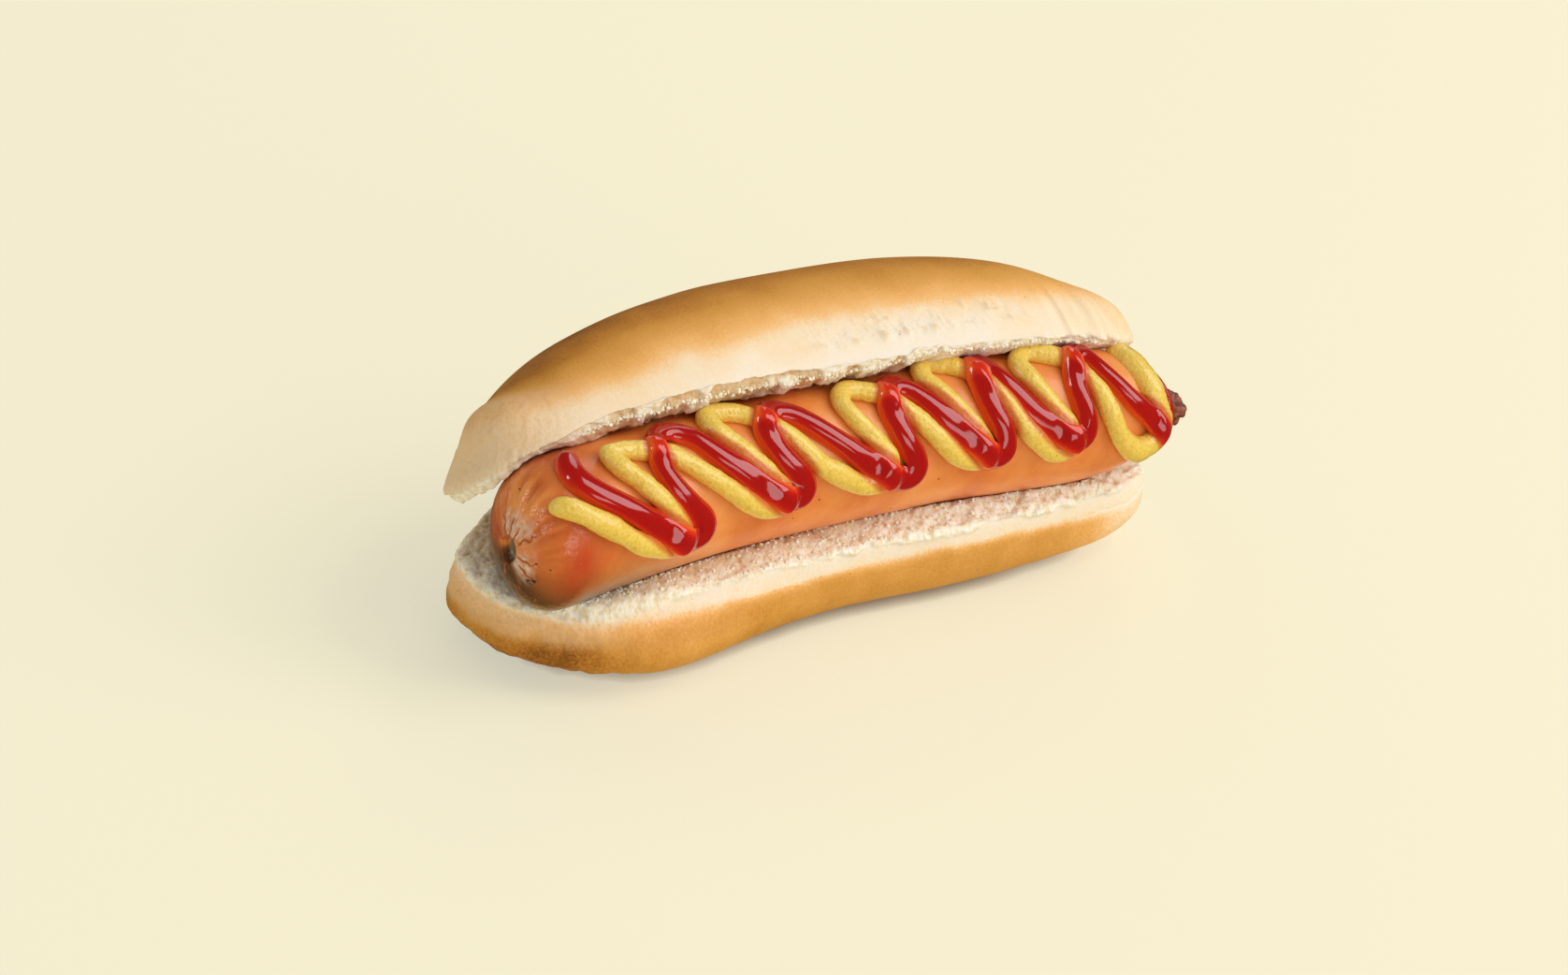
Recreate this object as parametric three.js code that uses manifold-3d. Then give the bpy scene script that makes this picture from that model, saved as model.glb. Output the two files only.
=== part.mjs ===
// Hot dog: a soft roll, split along its front and still joined along its back, holds a frankfurter
// with a zigzag of mustard and a zigzag of ketchup piped over it.
// Millimetres, +Z up. X runs along the roll, the open side faces -Y, and the roll stands on Z = 0.
import * as THREE from "three";
import { mergeVertices } from "three/addons/utils/BufferGeometryUtils.js";
import Module from "manifold-3d";

// ---- Driving dimensions ------------------------------------------------------------------------

const ROLL_LENGTH = 150;
const ROLL_FRONT = 25.5; // half-widths of the baked roll, each side of its spine
const ROLL_BACK = 24.5;
const ROLL_HEIGHT = 40.5; // of the roll before it is opened
const GIRTH_HEIGHT = 10; // where the roll is widest
const ROLL_BOW = 6; // how far the ends bend forward of the middle
const CUT_HEIGHT = 17.5;
const HINGE_DEPTH = 20; // from the spine back to where the cut stops
const OPENING = THREE.MathUtils.degToRad(44);
const TORN_EDGE = 3; // height of the crumb that shows along the lid's torn lip
const TORN_SLOPE = 0.06; // how far in the torn lip slopes, as a share of the way to the spine
const LID_OVERHANG = 2; // how far the lid's ends reach past the base's

const SAUSAGE_LEFT = 74.5; // from the middle to the dimpled end
const SAUSAGE_RIGHT = 72; // and to the end with the knot
const SAUSAGE_RADIUS = 13.3;
const SAUSAGE_HEIGHT = 29.3; // of its axis
const SAUSAGE_FORWARD = 9.7; // of its axis from the roll's spine
const SAUSAGE_BOW = 9; // how far its ends bend forward of its middle
const SAUSAGE_BOW_MIDDLE = 2; // which lies a little to the right of the roll's
const LEFT_CAP = 11; // lengths over which the ends round off
const RIGHT_CAP = 30;

const FIT_GAP = 0.3; // between the roll and what lies in it
const FOOTPRINT_SHIFT = [-0.45, 1.24]; // brings the middle of the whole thing's footprint to the origin

// Each sauce is a strand looped round pegs, given as [X, degrees up round the sausage from its front].
const MUSTARD = {
  halfWidth: 2.1,
  halfHeight: 1.8,
  lift: 0.9,
  turn: 2.3,
  start: [-70, 57],
  pegs: [
    [-48, 11],
    [-54.5, 74],
    [-26, 18],
    [-28.5, 84],
    [-0.5, 16],
    [-0.5, 73],
    [20, 21],
    [20, 90],
    [39, 18],
    [40, 87],
    [56, 14],
    [59, 79],
  ],
  end: [65, 38],
};
const KETCHUP = {
  halfWidth: 2.4,
  halfHeight: 1.9,
  lift: 1.9,
  turn: 2.7,
  start: [-64, 84],
  pegs: [
    [-43.5, 15],
    [-43, 75],
    [-21, 26],
    [-18.5, 75],
    [4.5, 21],
    [8, 74],
    [25, 26],
    [29.5, 85],
    [43, 28],
    [50.5, 78],
  ],
  end: [64.5, 12],
};

// ---- Closed surfaces and solids ----------------------------------------------------------------

/** Surface through rings of points, each closed on itself. The end rings meet at a point or a seam. */
function skin(rings) {
  const corners = [];
  const face = (a, b, c) => {
    const flat = a.distanceTo(b) < 1e-4 || b.distanceTo(c) < 1e-4 || c.distanceTo(a) < 1e-4;
    if (!flat) corners.push(a, b, c);
  };
  for (let k = 0; k < rings.length - 1; k++) {
    const count = rings[k].length;
    for (let i = 0; i < count; i++) {
      const next = (i + 1) % count;
      face(rings[k][i], rings[k + 1][i], rings[k + 1][next]);
      face(rings[k][i], rings[k + 1][next], rings[k][next]);
    }
  }
  return mergeVertices(new THREE.BufferGeometry().setFromPoints(corners), 1e-4);
}

const wasm = await Module();
wasm.setup();

function solid(geometry) {
  return new wasm.Manifold(
    new wasm.Mesh({
      numProp: 3,
      vertProperties: geometry.attributes.position.array,
      triVerts: new Uint32Array(geometry.index.array),
    }),
  );
}

function meshOf(name, body, material) {
  const { vertProperties, triVerts } = body.getMesh();
  const geometry = new THREE.BufferGeometry()
    .setAttribute("position", new THREE.BufferAttribute(vertProperties, 3))
    .setIndex(new THREE.BufferAttribute(triVerts, 1));
  geometry.computeVertexNormals();
  const mesh = new THREE.Mesh(geometry, material);
  mesh.name = name;
  return mesh;
}

// ---- The roll ----------------------------------------------------------------------------------

const QUARTER = Math.PI / 2;
const HALF_LENGTH = ROLL_LENGTH / 2;
const SPINE_HALF = HALF_LENGTH - ROLL_BACK;
const COLUMNS = 30; // from one tip of the roll to the other
const ROLL_SIDES = [
  { half: ROLL_FRONT, power: 3.2, sign: -1 }, // nearly straight, with tight corners
  { half: ROLL_BACK, power: 2.3, sign: 1 },
];

/** Half of the roll's plan, a superellipse from its left tip to its right tip. */
class HalfPlan extends THREE.Curve {
  constructor({ half, power, sign }) {
    super();
    Object.assign(this, { half, power, sign });
  }
  getPoint(t) {
    const c = -Math.cos(Math.PI * t);
    const s = Math.sin(Math.PI * t);
    const x = HALF_LENGTH * Math.sign(c) * Math.abs(c) ** (2 / this.power);
    return new THREE.Vector3(x, this.sign * this.half * s ** (2 / this.power), 0);
  }
}

/** How far out a plan point is: 0 in the middle of the roll, 1 on its outline. */
function reach(x, y) {
  const { half, power } = ROLL_SIDES[y > 0 ? 1 : 0];
  const along = Math.abs(x) / HALF_LENGTH;
  return Math.min(1, (along ** power + (Math.abs(y) / half) ** power) ** (1 / power));
}

/** Top surface of the roll as baked, over a plan point. */
function crownHeight(x, y) {
  return GIRTH_HEIGHT + (ROLL_HEIGHT - GIRTH_HEIGHT) * Math.sqrt(1 - reach(x, y) ** 2.8);
}

/** Its bottom surface: flat in the middle, where it lay on the tray, and round at the edge. */
function baseHeight(x, y) {
  const trayDepth = 0.25;
  return Math.max(0, GIRTH_HEIGHT * (1 - Math.sqrt(1 - reach(x, y) ** 5)) - trayDepth);
}

/** The base swells low on its front, left of the middle, and is pinched at its back left corner. */
function shapeBase(point) {
  const swelling = { depth: 7, middle: -48, spread: 23, top: 8, inner: 8 };
  const pinch = { share: 0.32, from: 42, to: 72 };
  const { smoothstep } = THREE.MathUtils;
  const { x, y, z } = point;
  const along = Math.exp(-(((x - swelling.middle) / swelling.spread) ** 2));
  const low = 1 - smoothstep(z, swelling.top, CUT_HEIGHT);
  point.y -= swelling.depth * along * low * smoothstep(-y, swelling.inner, ROLL_FRONT);
  if (y > 0) point.y *= 1 - pinch.share * smoothstep(-x, pinch.from, pinch.to);
}

/** The lid is drawn out at its ends. */
function shapeLid(point) {
  const straight = 45;
  const drawn = THREE.MathUtils.smoothstep(Math.abs(point.x), straight, HALF_LENGTH);
  point.x += LID_OVERHANG * drawn * Math.sign(point.x);
}

/** Height above the cut at which the lid's torn crumb gives way to crust. */
function tornEdge(x) {
  return TORN_EDGE + 0.6 * Math.sin(x / 4.1) + 0.4 * Math.sin(x / 2.3);
}

/** Columns of the plan: each runs from a point on the roll's spine out to a point of its outline. */
function planColumns() {
  const [front, back] = ROLL_SIDES.map((side) => new HalfPlan(side).getSpacedPoints(COLUMNS));
  const spine = (k) => new THREE.Vector3(SPINE_HALF * ((2 * k) / COLUMNS - 1), 0, 0);
  const columns = front.map((outer, k) => ({ inner: spine(k), outer }));
  for (let k = COLUMNS - 1; k > 0; k--) columns.push({ inner: spine(k), outer: back[k] });
  return columns;
}

/** Where along a column, from 0 at the spine to 1 at the outline, the crown comes down to a height. */
function crossing({ inner, outer }, height) {
  let low = 0;
  let high = 1;
  for (let i = 0; i < 30; i++) {
    const middle = (low + high) / 2;
    const { x, y } = inner.clone().lerp(outer, middle);
    if (crownHeight(x, y) > height) low = middle;
    else high = middle;
  }
  return low;
}

/**
 * Turns a point of the baked roll about the hinge. The lid swings up by the opening, the crust behind
 * the hinge is crowded together, and the two halves reach a little past each other where they join.
 */
function opened({ x, y, z }, isLid) {
  const out = HINGE_DEPTH - y;
  const up = (isLid ? 1 : -1) * (z - CUT_HEIGHT);
  const radius = Math.hypot(out, up);
  const angle = Math.atan2(up, out); // round the hinge, from the cut
  const uncrowded = THREE.MathUtils.degToRad(100);
  const swing = isLid ? OPENING : 0;
  const join = isLid ? Math.PI + 0.43 * OPENING : Math.PI - 0.37 * OPENING;
  const crowded = Math.max(0, angle - uncrowded) / (Math.PI - uncrowded);
  const turned = Math.min(angle, uncrowded) + swing + crowded * (join - uncrowded - swing);
  return new THREE.Vector3(
    x,
    HINGE_DEPTH - radius * Math.cos(turned) - ROLL_BOW * (x / HALF_LENGTH) ** 2,
    CUT_HEIGHT + (isLid ? 1 : -1) * radius * Math.sin(turned),
  );
}

/** The lid or the base: rings from the middle of its cut face, over its edge and round its crust. */
function rollHalf(isLid) {
  const columns = planColumns().map((column) => ({
    ...column,
    rim: crossing(column, CUT_HEIGHT),
    lip: crossing(column, CUT_HEIGHT + tornEdge(column.outer.x)),
  }));
  const cutFace = () => CUT_HEIGHT;
  // Each stretch has its number of rings, how far out on a column they lie, and their height.
  const stretches = isLid
    ? [
        [4, (t, { lip }) => t * (lip - TORN_SLOPE), cutFace],
        [1, (t, { lip }) => lip, crownHeight],
        [11, (t, { lip }) => lip * Math.cos(t * QUARTER), crownHeight],
      ]
    : [
        [4, (t, { rim }) => t * rim, cutFace],
        [3, (t, { rim }) => 1 - (1 - rim) * (1 - t) ** 2, crownHeight],
        [8, (t) => Math.cos(t * QUARTER), baseHeight],
      ];
  const ring = (place, height) =>
    columns.map((column) => {
      const point = column.inner.clone().lerp(column.outer, place(column));
      point.z = height(point.x, point.y);
      (isLid ? shapeLid : shapeBase)(point);
      return opened(point, isLid);
    });
  const rings = [ring(() => 0, cutFace)];
  for (const [count, place, height] of stretches) {
    for (let k = 1; k <= count; k++) rings.push(ring((column) => place(k / count, column), height));
  }
  return solid(skin(isLid ? rings.reverse() : rings));
}

// ---- The sausage and its sauces ----------------------------------------------------------------

const SAUSAGE_SIDES = 30;
const SAUCE_SIDES = 8;

/** Radius of the sausage at X: straight, with a blunt left end and a tapering right end. */
function sausageRadius(x) {
  const intoLeft = Math.max(0, LEFT_CAP - SAUSAGE_LEFT - x) / LEFT_CAP;
  const intoRight = Math.max(0, RIGHT_CAP - SAUSAGE_RIGHT + x) / RIGHT_CAP;
  return SAUSAGE_RADIUS * Math.sqrt(Math.max(0, 1 - intoLeft ** 2.6 - intoRight ** 2.2));
}

/** Point at X, an angle up round the sausage from its front, and a distance from its axis. */
function roundSausage(x, angle, distance) {
  const y = -SAUSAGE_FORWARD - SAUSAGE_BOW * ((x - SAUSAGE_BOW_MIDDLE) / HALF_LENGTH) ** 2;
  return new THREE.Vector3(
    x,
    y - distance * Math.cos(angle),
    SAUSAGE_HEIGHT + distance * Math.sin(angle),
  );
}

/** A ring round the sausage at X. Its radius is a function of the angle. */
function ringRound(x, radius) {
  return Array.from({ length: SAUSAGE_SIDES }, (_, i) => {
    const angle = (2 * Math.PI * i) / SAUSAGE_SIDES;
    return roundSausage(x, angle, radius(angle));
  });
}

/** The frankfurter: its left end gathers into a pleated dimple, its right end into a short knot. */
function sausage(growth) {
  // Rings of the dimple, each with how far in from the end it is and its radius, and of the knot,
  // each with how far out from the end it is and its radius.
  const dimple = [
    [1.6, 0],
    [1.2, 1.2],
  ];
  const knot = [
    [0.3, 2],
    [1, 2.7],
    [2.7, 3],
    [3.6, 2.3],
    [3.9, 0],
  ];
  const pleats = { count: 11, depth: 0.5 };
  const capSteps = 7;
  const bodySteps = 18;
  const bodyStart = LEFT_CAP - SAUSAGE_LEFT;
  const bodyLength = SAUSAGE_RIGHT - RIGHT_CAP - bodyStart;
  const fromTip = (k, cap) => 0.05 + cap * (k / capSteps) ** 2.2; // close together at the tip
  const rings = dimple.map(([into, radius]) => ringRound(into - SAUSAGE_LEFT, () => radius));
  for (let k = 1; k <= capSteps; k++) {
    const x = fromTip(k, LEFT_CAP) - SAUSAGE_LEFT;
    const depth = pleats.depth * (1 - k / capSteps);
    const pleated = (angle) => sausageRadius(x) + depth * Math.cos(pleats.count * angle) + growth;
    rings.push(ringRound(x, pleated));
  }
  for (let k = 1; k < bodySteps; k++) {
    rings.push(ringRound(bodyStart + (bodyLength * k) / bodySteps, () => SAUSAGE_RADIUS + growth));
  }
  for (let k = capSteps; k >= 1; k--) {
    const x = SAUSAGE_RIGHT - fromTip(k, RIGHT_CAP);
    rings.push(ringRound(x, () => sausageRadius(x) + growth));
  }
  for (const [out, radius] of knot) rings.push(ringRound(SAUSAGE_RIGHT + out, () => radius));
  return solid(skin(rings));
}

/**
 * The line of a strand that loops round its pegs on alternate sides, like a belt: straight runs, and
 * arcs round the pegs. Its points are [X, length round the sausage], on the unrolled skin.
 */
function pegPath({ start, pegs, end, turn }) {
  const arcStep = 0.65;
  const flat = ([x, degrees]) =>
    new THREE.Vector2(x, THREE.MathUtils.degToRad(degrees) * SAUSAGE_RADIUS);
  const stops = [start, ...pegs, end].map(flat);
  const last = stops.length - 1;
  // The run between two stops slants from the line of their centres, more so between two pegs.
  const heading = (i, side) => {
    const line = stops[i + 1].clone().sub(stops[i]);
    const reachOver = i === 0 || i + 1 === last ? turn : 2 * turn;
    return line.angle() + side * Math.asin(reachOver / line.length());
  };
  const path = [stops[0]];
  for (let i = 1; i < last; i++) {
    const side = i % 2 ? 1 : -1; // the strand turns left under the low pegs, right over the high ones
    const arriving = heading(i - 1, -side);
    const leaving = heading(i, side);
    const swing = THREE.MathUtils.euclideanModulo((leaving - arriving) * side, 2 * Math.PI);
    const steps = Math.ceil(swing / arcStep);
    for (let k = 0; k <= steps; k++) {
      const angle = arriving + side * ((swing * k) / steps - QUARTER);
      path.push(new THREE.Vector2(turn, 0).rotateAround(new THREE.Vector2(), angle).add(stops[i]));
    }
  }
  path.push(stops[last]);
  return path;
}

/** The path with points added on its long runs. */
function divided(path) {
  const step = 4;
  const points = [path[0]];
  for (let i = 1; i < path.length; i++) {
    const count = Math.ceil(path[i].distanceTo(path[i - 1]) / step);
    for (let k = 1; k <= count; k++) points.push(path[i - 1].clone().lerp(path[i], k / count));
  }
  return points;
}

/** A piped strand of oval section on the sausage, with round ends. */
function strand(sauce, growth) {
  const { halfWidth, halfHeight, lift } = sauce;
  const flat = divided(pegPath(sauce));
  const last = flat.length - 1;
  const onSkin = ({ x, y }, height) =>
    roundSausage(x, y / SAUSAGE_RADIUS, sausageRadius(x) + height);
  // An oval round a point of the path, scaled, and set ahead of it along the strand.
  const ring = (i, scale = 1, ahead = 0) => {
    const centre = onSkin(flat[i], lift);
    const along = onSkin(flat[Math.min(i + 1, last)], lift).sub(onSkin(flat[Math.max(i - 1, 0)], lift));
    along.normalize();
    const across = along.clone().cross(onSkin(flat[i], lift + 1).sub(centre)).normalize();
    const up = across.clone().cross(along);
    centre.addScaledVector(along, ahead * halfWidth);
    return Array.from({ length: SAUCE_SIDES }, (_, k) => {
      const angle = (2 * Math.PI * k) / SAUCE_SIDES;
      return centre
        .clone()
        .addScaledVector(across, scale * (halfWidth + growth) * Math.cos(angle))
        .addScaledVector(up, scale * (halfHeight + growth) * Math.sin(angle));
    });
  };
  const body = flat.map((_, i) => ring(i));
  return solid(skin([ring(0, 0, -1), ring(0, 0.75, -0.6), ...body, ring(last, 0.75, 0.6), ring(last, 0, 1)]));
}

/** The sausage and the sauces that stick to it, all grown outwards by a distance. */
function filling(growth) {
  return sausage(growth).add(strand(MUSTARD, growth)).add(strand(KETCHUP, growth));
}

// ---- The whole ---------------------------------------------------------------------------------

const crust = new THREE.MeshStandardMaterial({ color: 0xd79b50, roughness: 0.75, metalness: 0 });
const casing = new THREE.MeshStandardMaterial({ color: 0xd9793a, roughness: 0.35, metalness: 0 });

const roll = rollHalf(false).add(rollHalf(true)).subtract(filling(FIT_GAP));
const hotDog = new THREE.Group();
hotDog.add(meshOf("roll", roll, crust));
hotDog.add(meshOf("sausage", filling(0), casing));
hotDog.position.set(...FOOTPRINT_SHIFT, 0);

export default hotDog;
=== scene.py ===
"""
A hot dog: a soft roll, split and opened, with a frankfurter and zigzags of mustard and ketchup.

The scene is in metres in the part's own frame: +Z up, X along the roll, the open side to -Y.
Shapes are worked out in millimetres as whole numpy arrays, and go into their meshes in metres.
"""

import itertools
import math

import bmesh
import bpy
import numpy as np
from mathutils import Matrix, Vector


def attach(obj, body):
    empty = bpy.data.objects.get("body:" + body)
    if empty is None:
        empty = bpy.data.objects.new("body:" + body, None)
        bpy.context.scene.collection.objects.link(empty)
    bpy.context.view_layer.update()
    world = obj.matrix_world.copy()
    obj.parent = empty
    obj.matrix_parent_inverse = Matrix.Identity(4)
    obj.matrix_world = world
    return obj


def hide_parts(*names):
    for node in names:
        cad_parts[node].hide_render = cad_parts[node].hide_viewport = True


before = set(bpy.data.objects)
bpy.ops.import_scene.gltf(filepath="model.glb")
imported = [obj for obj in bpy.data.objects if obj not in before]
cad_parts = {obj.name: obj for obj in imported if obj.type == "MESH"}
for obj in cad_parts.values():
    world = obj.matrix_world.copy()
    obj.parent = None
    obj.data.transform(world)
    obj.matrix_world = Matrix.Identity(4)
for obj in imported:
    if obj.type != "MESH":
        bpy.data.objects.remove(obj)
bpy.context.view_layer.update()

# ---- Camera ------------------------------------------------------------------------------------
# A long lens in front and to the left of the hot dog, above it, and turned a little so that the
# hot dog rises to the right.

CAMERA_AZIMUTH = math.radians(-40)
CAMERA_ELEVATION = math.radians(30)
CAMERA_ROLL = math.radians(10.9)
CAMERA_DISTANCE = 0.76
CAMERA_TARGET = Vector((-0.0115, -0.0110, 0.025))
CAMERA_LENS = 96.54
CAMERA_SENSOR = 36
CAMERA_CLIP_END = 20

level = Vector((math.cos(CAMERA_AZIMUTH), math.sin(CAMERA_AZIMUTH), 0))
backward = Vector((level.y, -level.x, 0)) * math.cos(CAMERA_ELEVATION)
backward.z = math.sin(CAMERA_ELEVATION)
upward = backward.cross(level)
camera_x = level * math.cos(CAMERA_ROLL) + upward * math.sin(CAMERA_ROLL)
camera_y = upward * math.cos(CAMERA_ROLL) - level * math.sin(CAMERA_ROLL)

camera = bpy.data.objects.new("camera", bpy.data.cameras.new("camera"))
camera.data.lens = CAMERA_LENS
camera.data.sensor_width = CAMERA_SENSOR
camera.data.clip_end = CAMERA_CLIP_END
camera.matrix_world = Matrix((camera_x, camera_y, backward)).transposed().to_4x4()
camera.location = CAMERA_TARGET + backward * CAMERA_DISTANCE
bpy.context.collection.objects.link(camera)
bpy.context.scene.camera = camera

# ---- Floor and light ---------------------------------------------------------------------------
# A plain cream studio floor. One large softbox stands to the right and lights most of it, a dim one
# in front fills in, two small ones behind and to the left add highlights, and all is in even light.

FLOOR_HALF = 6
FLOOR_COLOR = (0.48, 0.375, 0.21, 1)
FLOOR_GLOW = (0.85, 0.915, 0.77, 1)
FLOOR_GLOW_STRENGTH = 0.55  # a panel lit from behind, which keeps the shadows on it pale
CONTACT_SHADOW = 0.0025  # how far from the roll's foot the glow is dimmed
SOFTBOXES = {  # each with its place, size and power
    "main_softbox": (Vector((1.15, -0.85, 1.5)), (1.3, 1.9), 23),
    "front_softbox": (Vector((0.1, -2.0, 0.6)), (1.2, 0.6), 5.5),
    "back_softbox": (Vector((1.1, 1.1, 1.25)), (0.5, 0.9), 2.5),
    "left_softbox": (Vector((-1.5, 0.3, 0.9)), (0.35, 0.5), 3.5),
}
SOFTBOX_AIM = Vector((0, 0, 0.02))
SURROUND_COLOR = (1.0, 1.0, 1.0, 1)
SURROUND_STRENGTH = 0.56
SURROUND_GLOSS = 0.12  # how much of the surround shows in reflections


def add(tree, kind, inputs=(), **settings):
    """A new node of a kind. Its inputs are given values, or are linked to other nodes' outputs."""
    node = tree.nodes.new("ShaderNode" + kind)
    for name, value in settings.items():
        setattr(node, name, value)
    for socket, value in dict(inputs).items():
        if isinstance(value, bpy.types.NodeSocket):
            tree.links.new(value, node.inputs[socket])
        else:
            node.inputs[socket].default_value = value
    return node


def new_material(name):
    """An empty material and its node tree."""
    material = bpy.data.materials.new(name)
    material.use_nodes = True
    material.node_tree.nodes.clear()
    return material, material.node_tree


def finish_material(tree, inputs):
    """Ends a material in a Principled shader with these inputs."""
    shader = add(tree, "BsdfPrincipled", inputs)
    output = add(tree, "OutputMaterial")
    tree.links.new(shader.outputs[0], output.inputs["Surface"])


floor_mesh = bpy.data.meshes.new("floor")
floor_corners = [(x * FLOOR_HALF, y * FLOOR_HALF, 0) for x, y in ((-1, -1), (1, -1), (1, 1), (-1, 1))]
floor_mesh.from_pydata(floor_corners, [], [(0, 1, 2, 3)])
floor = bpy.data.objects.new("floor", floor_mesh)
bpy.context.collection.objects.link(floor)
floor_material, tree = new_material("studio_floor")
# Near the roll's foot the floor's glow dims: a painted contact shadow.
glow = add(tree, "AmbientOcclusion", {"Color": FLOOR_GLOW, "Distance": CONTACT_SHADOW})
finish_material(
    tree,
    {
        "Base Color": FLOOR_COLOR,
        "Roughness": 0.9,
        "Specular IOR Level": 0.1,
        "Emission Color": glow.outputs["Color"],
        "Emission Strength": FLOOR_GLOW_STRENGTH,
    },
)
floor_mesh.materials.append(floor_material)
floor.visible_glossy = False  # the sauces and the skin don't mirror it, which keeps them dark and rich

for name, (place, (width, height), power) in SOFTBOXES.items():
    softbox = bpy.data.objects.new(name, bpy.data.lights.new(name, "AREA"))
    softbox.data.shape = "RECTANGLE"
    softbox.data.size = width
    softbox.data.size_y = height
    softbox.data.energy = power
    softbox.location = place
    softbox.rotation_euler = (place - SOFTBOX_AIM).to_track_quat("Z", "Y").to_euler()
    bpy.context.collection.objects.link(softbox)
bpy.data.objects["left_softbox"].visible_diffuse = False  # it adds only glints

surround = bpy.data.worlds.new("surround")
surround.use_nodes = True
surround_light = surround.node_tree.nodes["Background"]
surround_light.inputs["Color"].default_value = SURROUND_COLOR
is_reflected = add(surround.node_tree, "LightPath").outputs["Is Glossy Ray"]
dimming = {0: is_reflected, 1: SURROUND_STRENGTH * (SURROUND_GLOSS - 1), 2: SURROUND_STRENGTH}
strength = add(surround.node_tree, "Math", dimming, operation="MULTIPLY_ADD")
surround.node_tree.links.new(strength.outputs[0], surround_light.inputs["Strength"])
bpy.context.scene.world = surround
bpy.context.scene.view_settings.view_transform = "Standard"

# ---- Roll: the base ----------------------------------------------------------------------------
# The lower half of a soft white roll, baked in a tray with its neighbours touching: pale where they
# touched, golden below, flat underneath. It was split along the front, so its top is torn crumb.

MM = 0.001
SHIFT = np.array([-0.45, 1.24, 0])  # from the roll's own middle to the middle of the footprint

HALF_LENGTH = 75
FRONT_HALF, FRONT_POWER = 25.5, 3.2  # the plan is a superellipse on each side of the spine
BACK_HALF, BACK_POWER = 24.5, 2.3
SPINE_HALF = HALF_LENGTH - BACK_HALF
ROLL_HEIGHT = 40.5
GIRTH_HEIGHT = 10
SOLE_PRESSED = 0.25  # how far the tray flattens the sole
ROLL_BOW = 6
CUT_HEIGHT = 17.5
HINGE_DEPTH = 20
OPENING = math.radians(44)
CROWDED_FROM = math.radians(100)  # the turn round the hinge at which the crust starts to crowd
LID_JOIN, BASE_JOIN = 0.43, -0.37  # where the halves end behind the hinge, in shares of the opening
FRONT_COLUMNS, BACK_COLUMNS = 520, 220  # of points along the open side and along the hinge

SAUSAGE_RADIUS = 13.3
SAUSAGE_HEIGHT = 29.3
SAUSAGE_FORWARD = 9.7
SAUSAGE_BOW, SAUSAGE_BOW_MIDDLE = 9, 2
SAUSAGE_LEFT, SAUSAGE_RIGHT = 74.5, 72
LEFT_CAP, RIGHT_CAP = 11, 30

FIELD_CELLS = 32  # a random field repeats after this many of its cubes
OCTAVE_SHIFT = 7.3  # keeps the corners of a field's smaller cubes off those of its larger ones


def smoothstep(value, low, high):
    """0 below low, 1 above high, and 3t^2 - 2t^3 of the way t between them."""
    t = np.clip((value - low) / (high - low), 0, 1)
    return t * t * (3 - 2 * t)


def smooth_fall(value, low, high):
    """1 below low and 0 above high: 1 - smoothstep."""
    return 1 - smoothstep(value, low, high)


def stretch(value, rise, fall):
    """1 from the end of a rise to the start of a fall, and 0 outside them, with smooth steps."""
    return smoothstep(value, *rise) * smooth_fall(value, *fall)


def bell(value, middle, width):
    """A bell curve, exp(-((value - middle) / width)^2): 1 at the middle, and 0 far from it."""
    return np.exp(-(((value - middle) / width) ** 2))


def noise(places, size, seed, octaves=3):
    """
    Smooth random field, about -1 to 1: random values at the corners of cubes of a size, blended by
    a smooth step, plus the same at half the size and half the strength, and so on.
    """
    lattice = np.random.default_rng(seed).uniform(-1, 1, (FIELD_CELLS,) * 3)
    total = np.zeros(places.shape[:-1])
    for octave in range(octaves):
        scaled = places / size * 2**octave + OCTAVE_SHIFT * octave
        cell = np.floor(scaled).astype(int)
        blend = smoothstep(scaled - cell, 0, 1)
        for corner in itertools.product((0, 1), repeat=3):
            x, y, z = np.moveaxis((cell + corner) % FIELD_CELLS, -1, 0)
            total += lattice[x, y, z] * np.prod(np.where(corner, blend, 1 - blend), -1) / 2**octave
    return total


def ridges(places, size, seed, octaves=3):
    """Sharp folds, 1 - 2 |noise|: 1 along their crests, and about -1 at the bottom between them."""
    return 1 - 2 * abs(noise(places, size, seed, octaves))


def lumps(places, size, seed):
    """
    Round lumps packed side by side, one round a random point in each cube of a size: sqrt(1 - d^2 / 0.75),
    where d is the distance, in cubes, to the nearest of these points.
    """
    jitter = np.random.default_rng(seed).uniform(0, 1, (FIELD_CELLS,) * 3 + (3,))
    scaled = places / size
    cell = np.floor(scaled).astype(int)
    nearest = np.full(places.shape[:-1], np.inf)
    for step in itertools.product((-1, 0, 1), repeat=3):
        x, y, z = np.moveaxis((cell + step) % FIELD_CELLS, -1, 0)
        gap = scaled - (cell + step + jitter[x, y, z])
        nearest = np.minimum(nearest, np.sum(gap**2, -1))
    return np.sqrt(np.clip(1 - nearest / 0.75, 0, 1))


def reach(x, y):
    """How far out a plan point is: (|x/a|^p + |y/b|^p)^(1/p), 0 in the middle and 1 on the outline."""
    power = np.where(y > 0, BACK_POWER, FRONT_POWER)
    half = np.where(y > 0, BACK_HALF, FRONT_HALF)
    return np.minimum(1, ((abs(x) / HALF_LENGTH) ** power + (abs(y) / half) ** power) ** (1 / power))


def crown_height(x, y):
    """Top of the roll: girth + (height - girth) * sqrt(1 - reach^2.8)."""
    return GIRTH_HEIGHT + (ROLL_HEIGHT - GIRTH_HEIGHT) * np.sqrt(1 - reach(x, y) ** 2.8)


def sole_height(x, y):
    """Bottom of the roll: girth * (1 - sqrt(1 - reach^5)), less what the tray presses flat."""
    return np.maximum(0, GIRTH_HEIGHT * (1 - np.sqrt(1 - reach(x, y) ** 5)) - SOLE_PRESSED)


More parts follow.
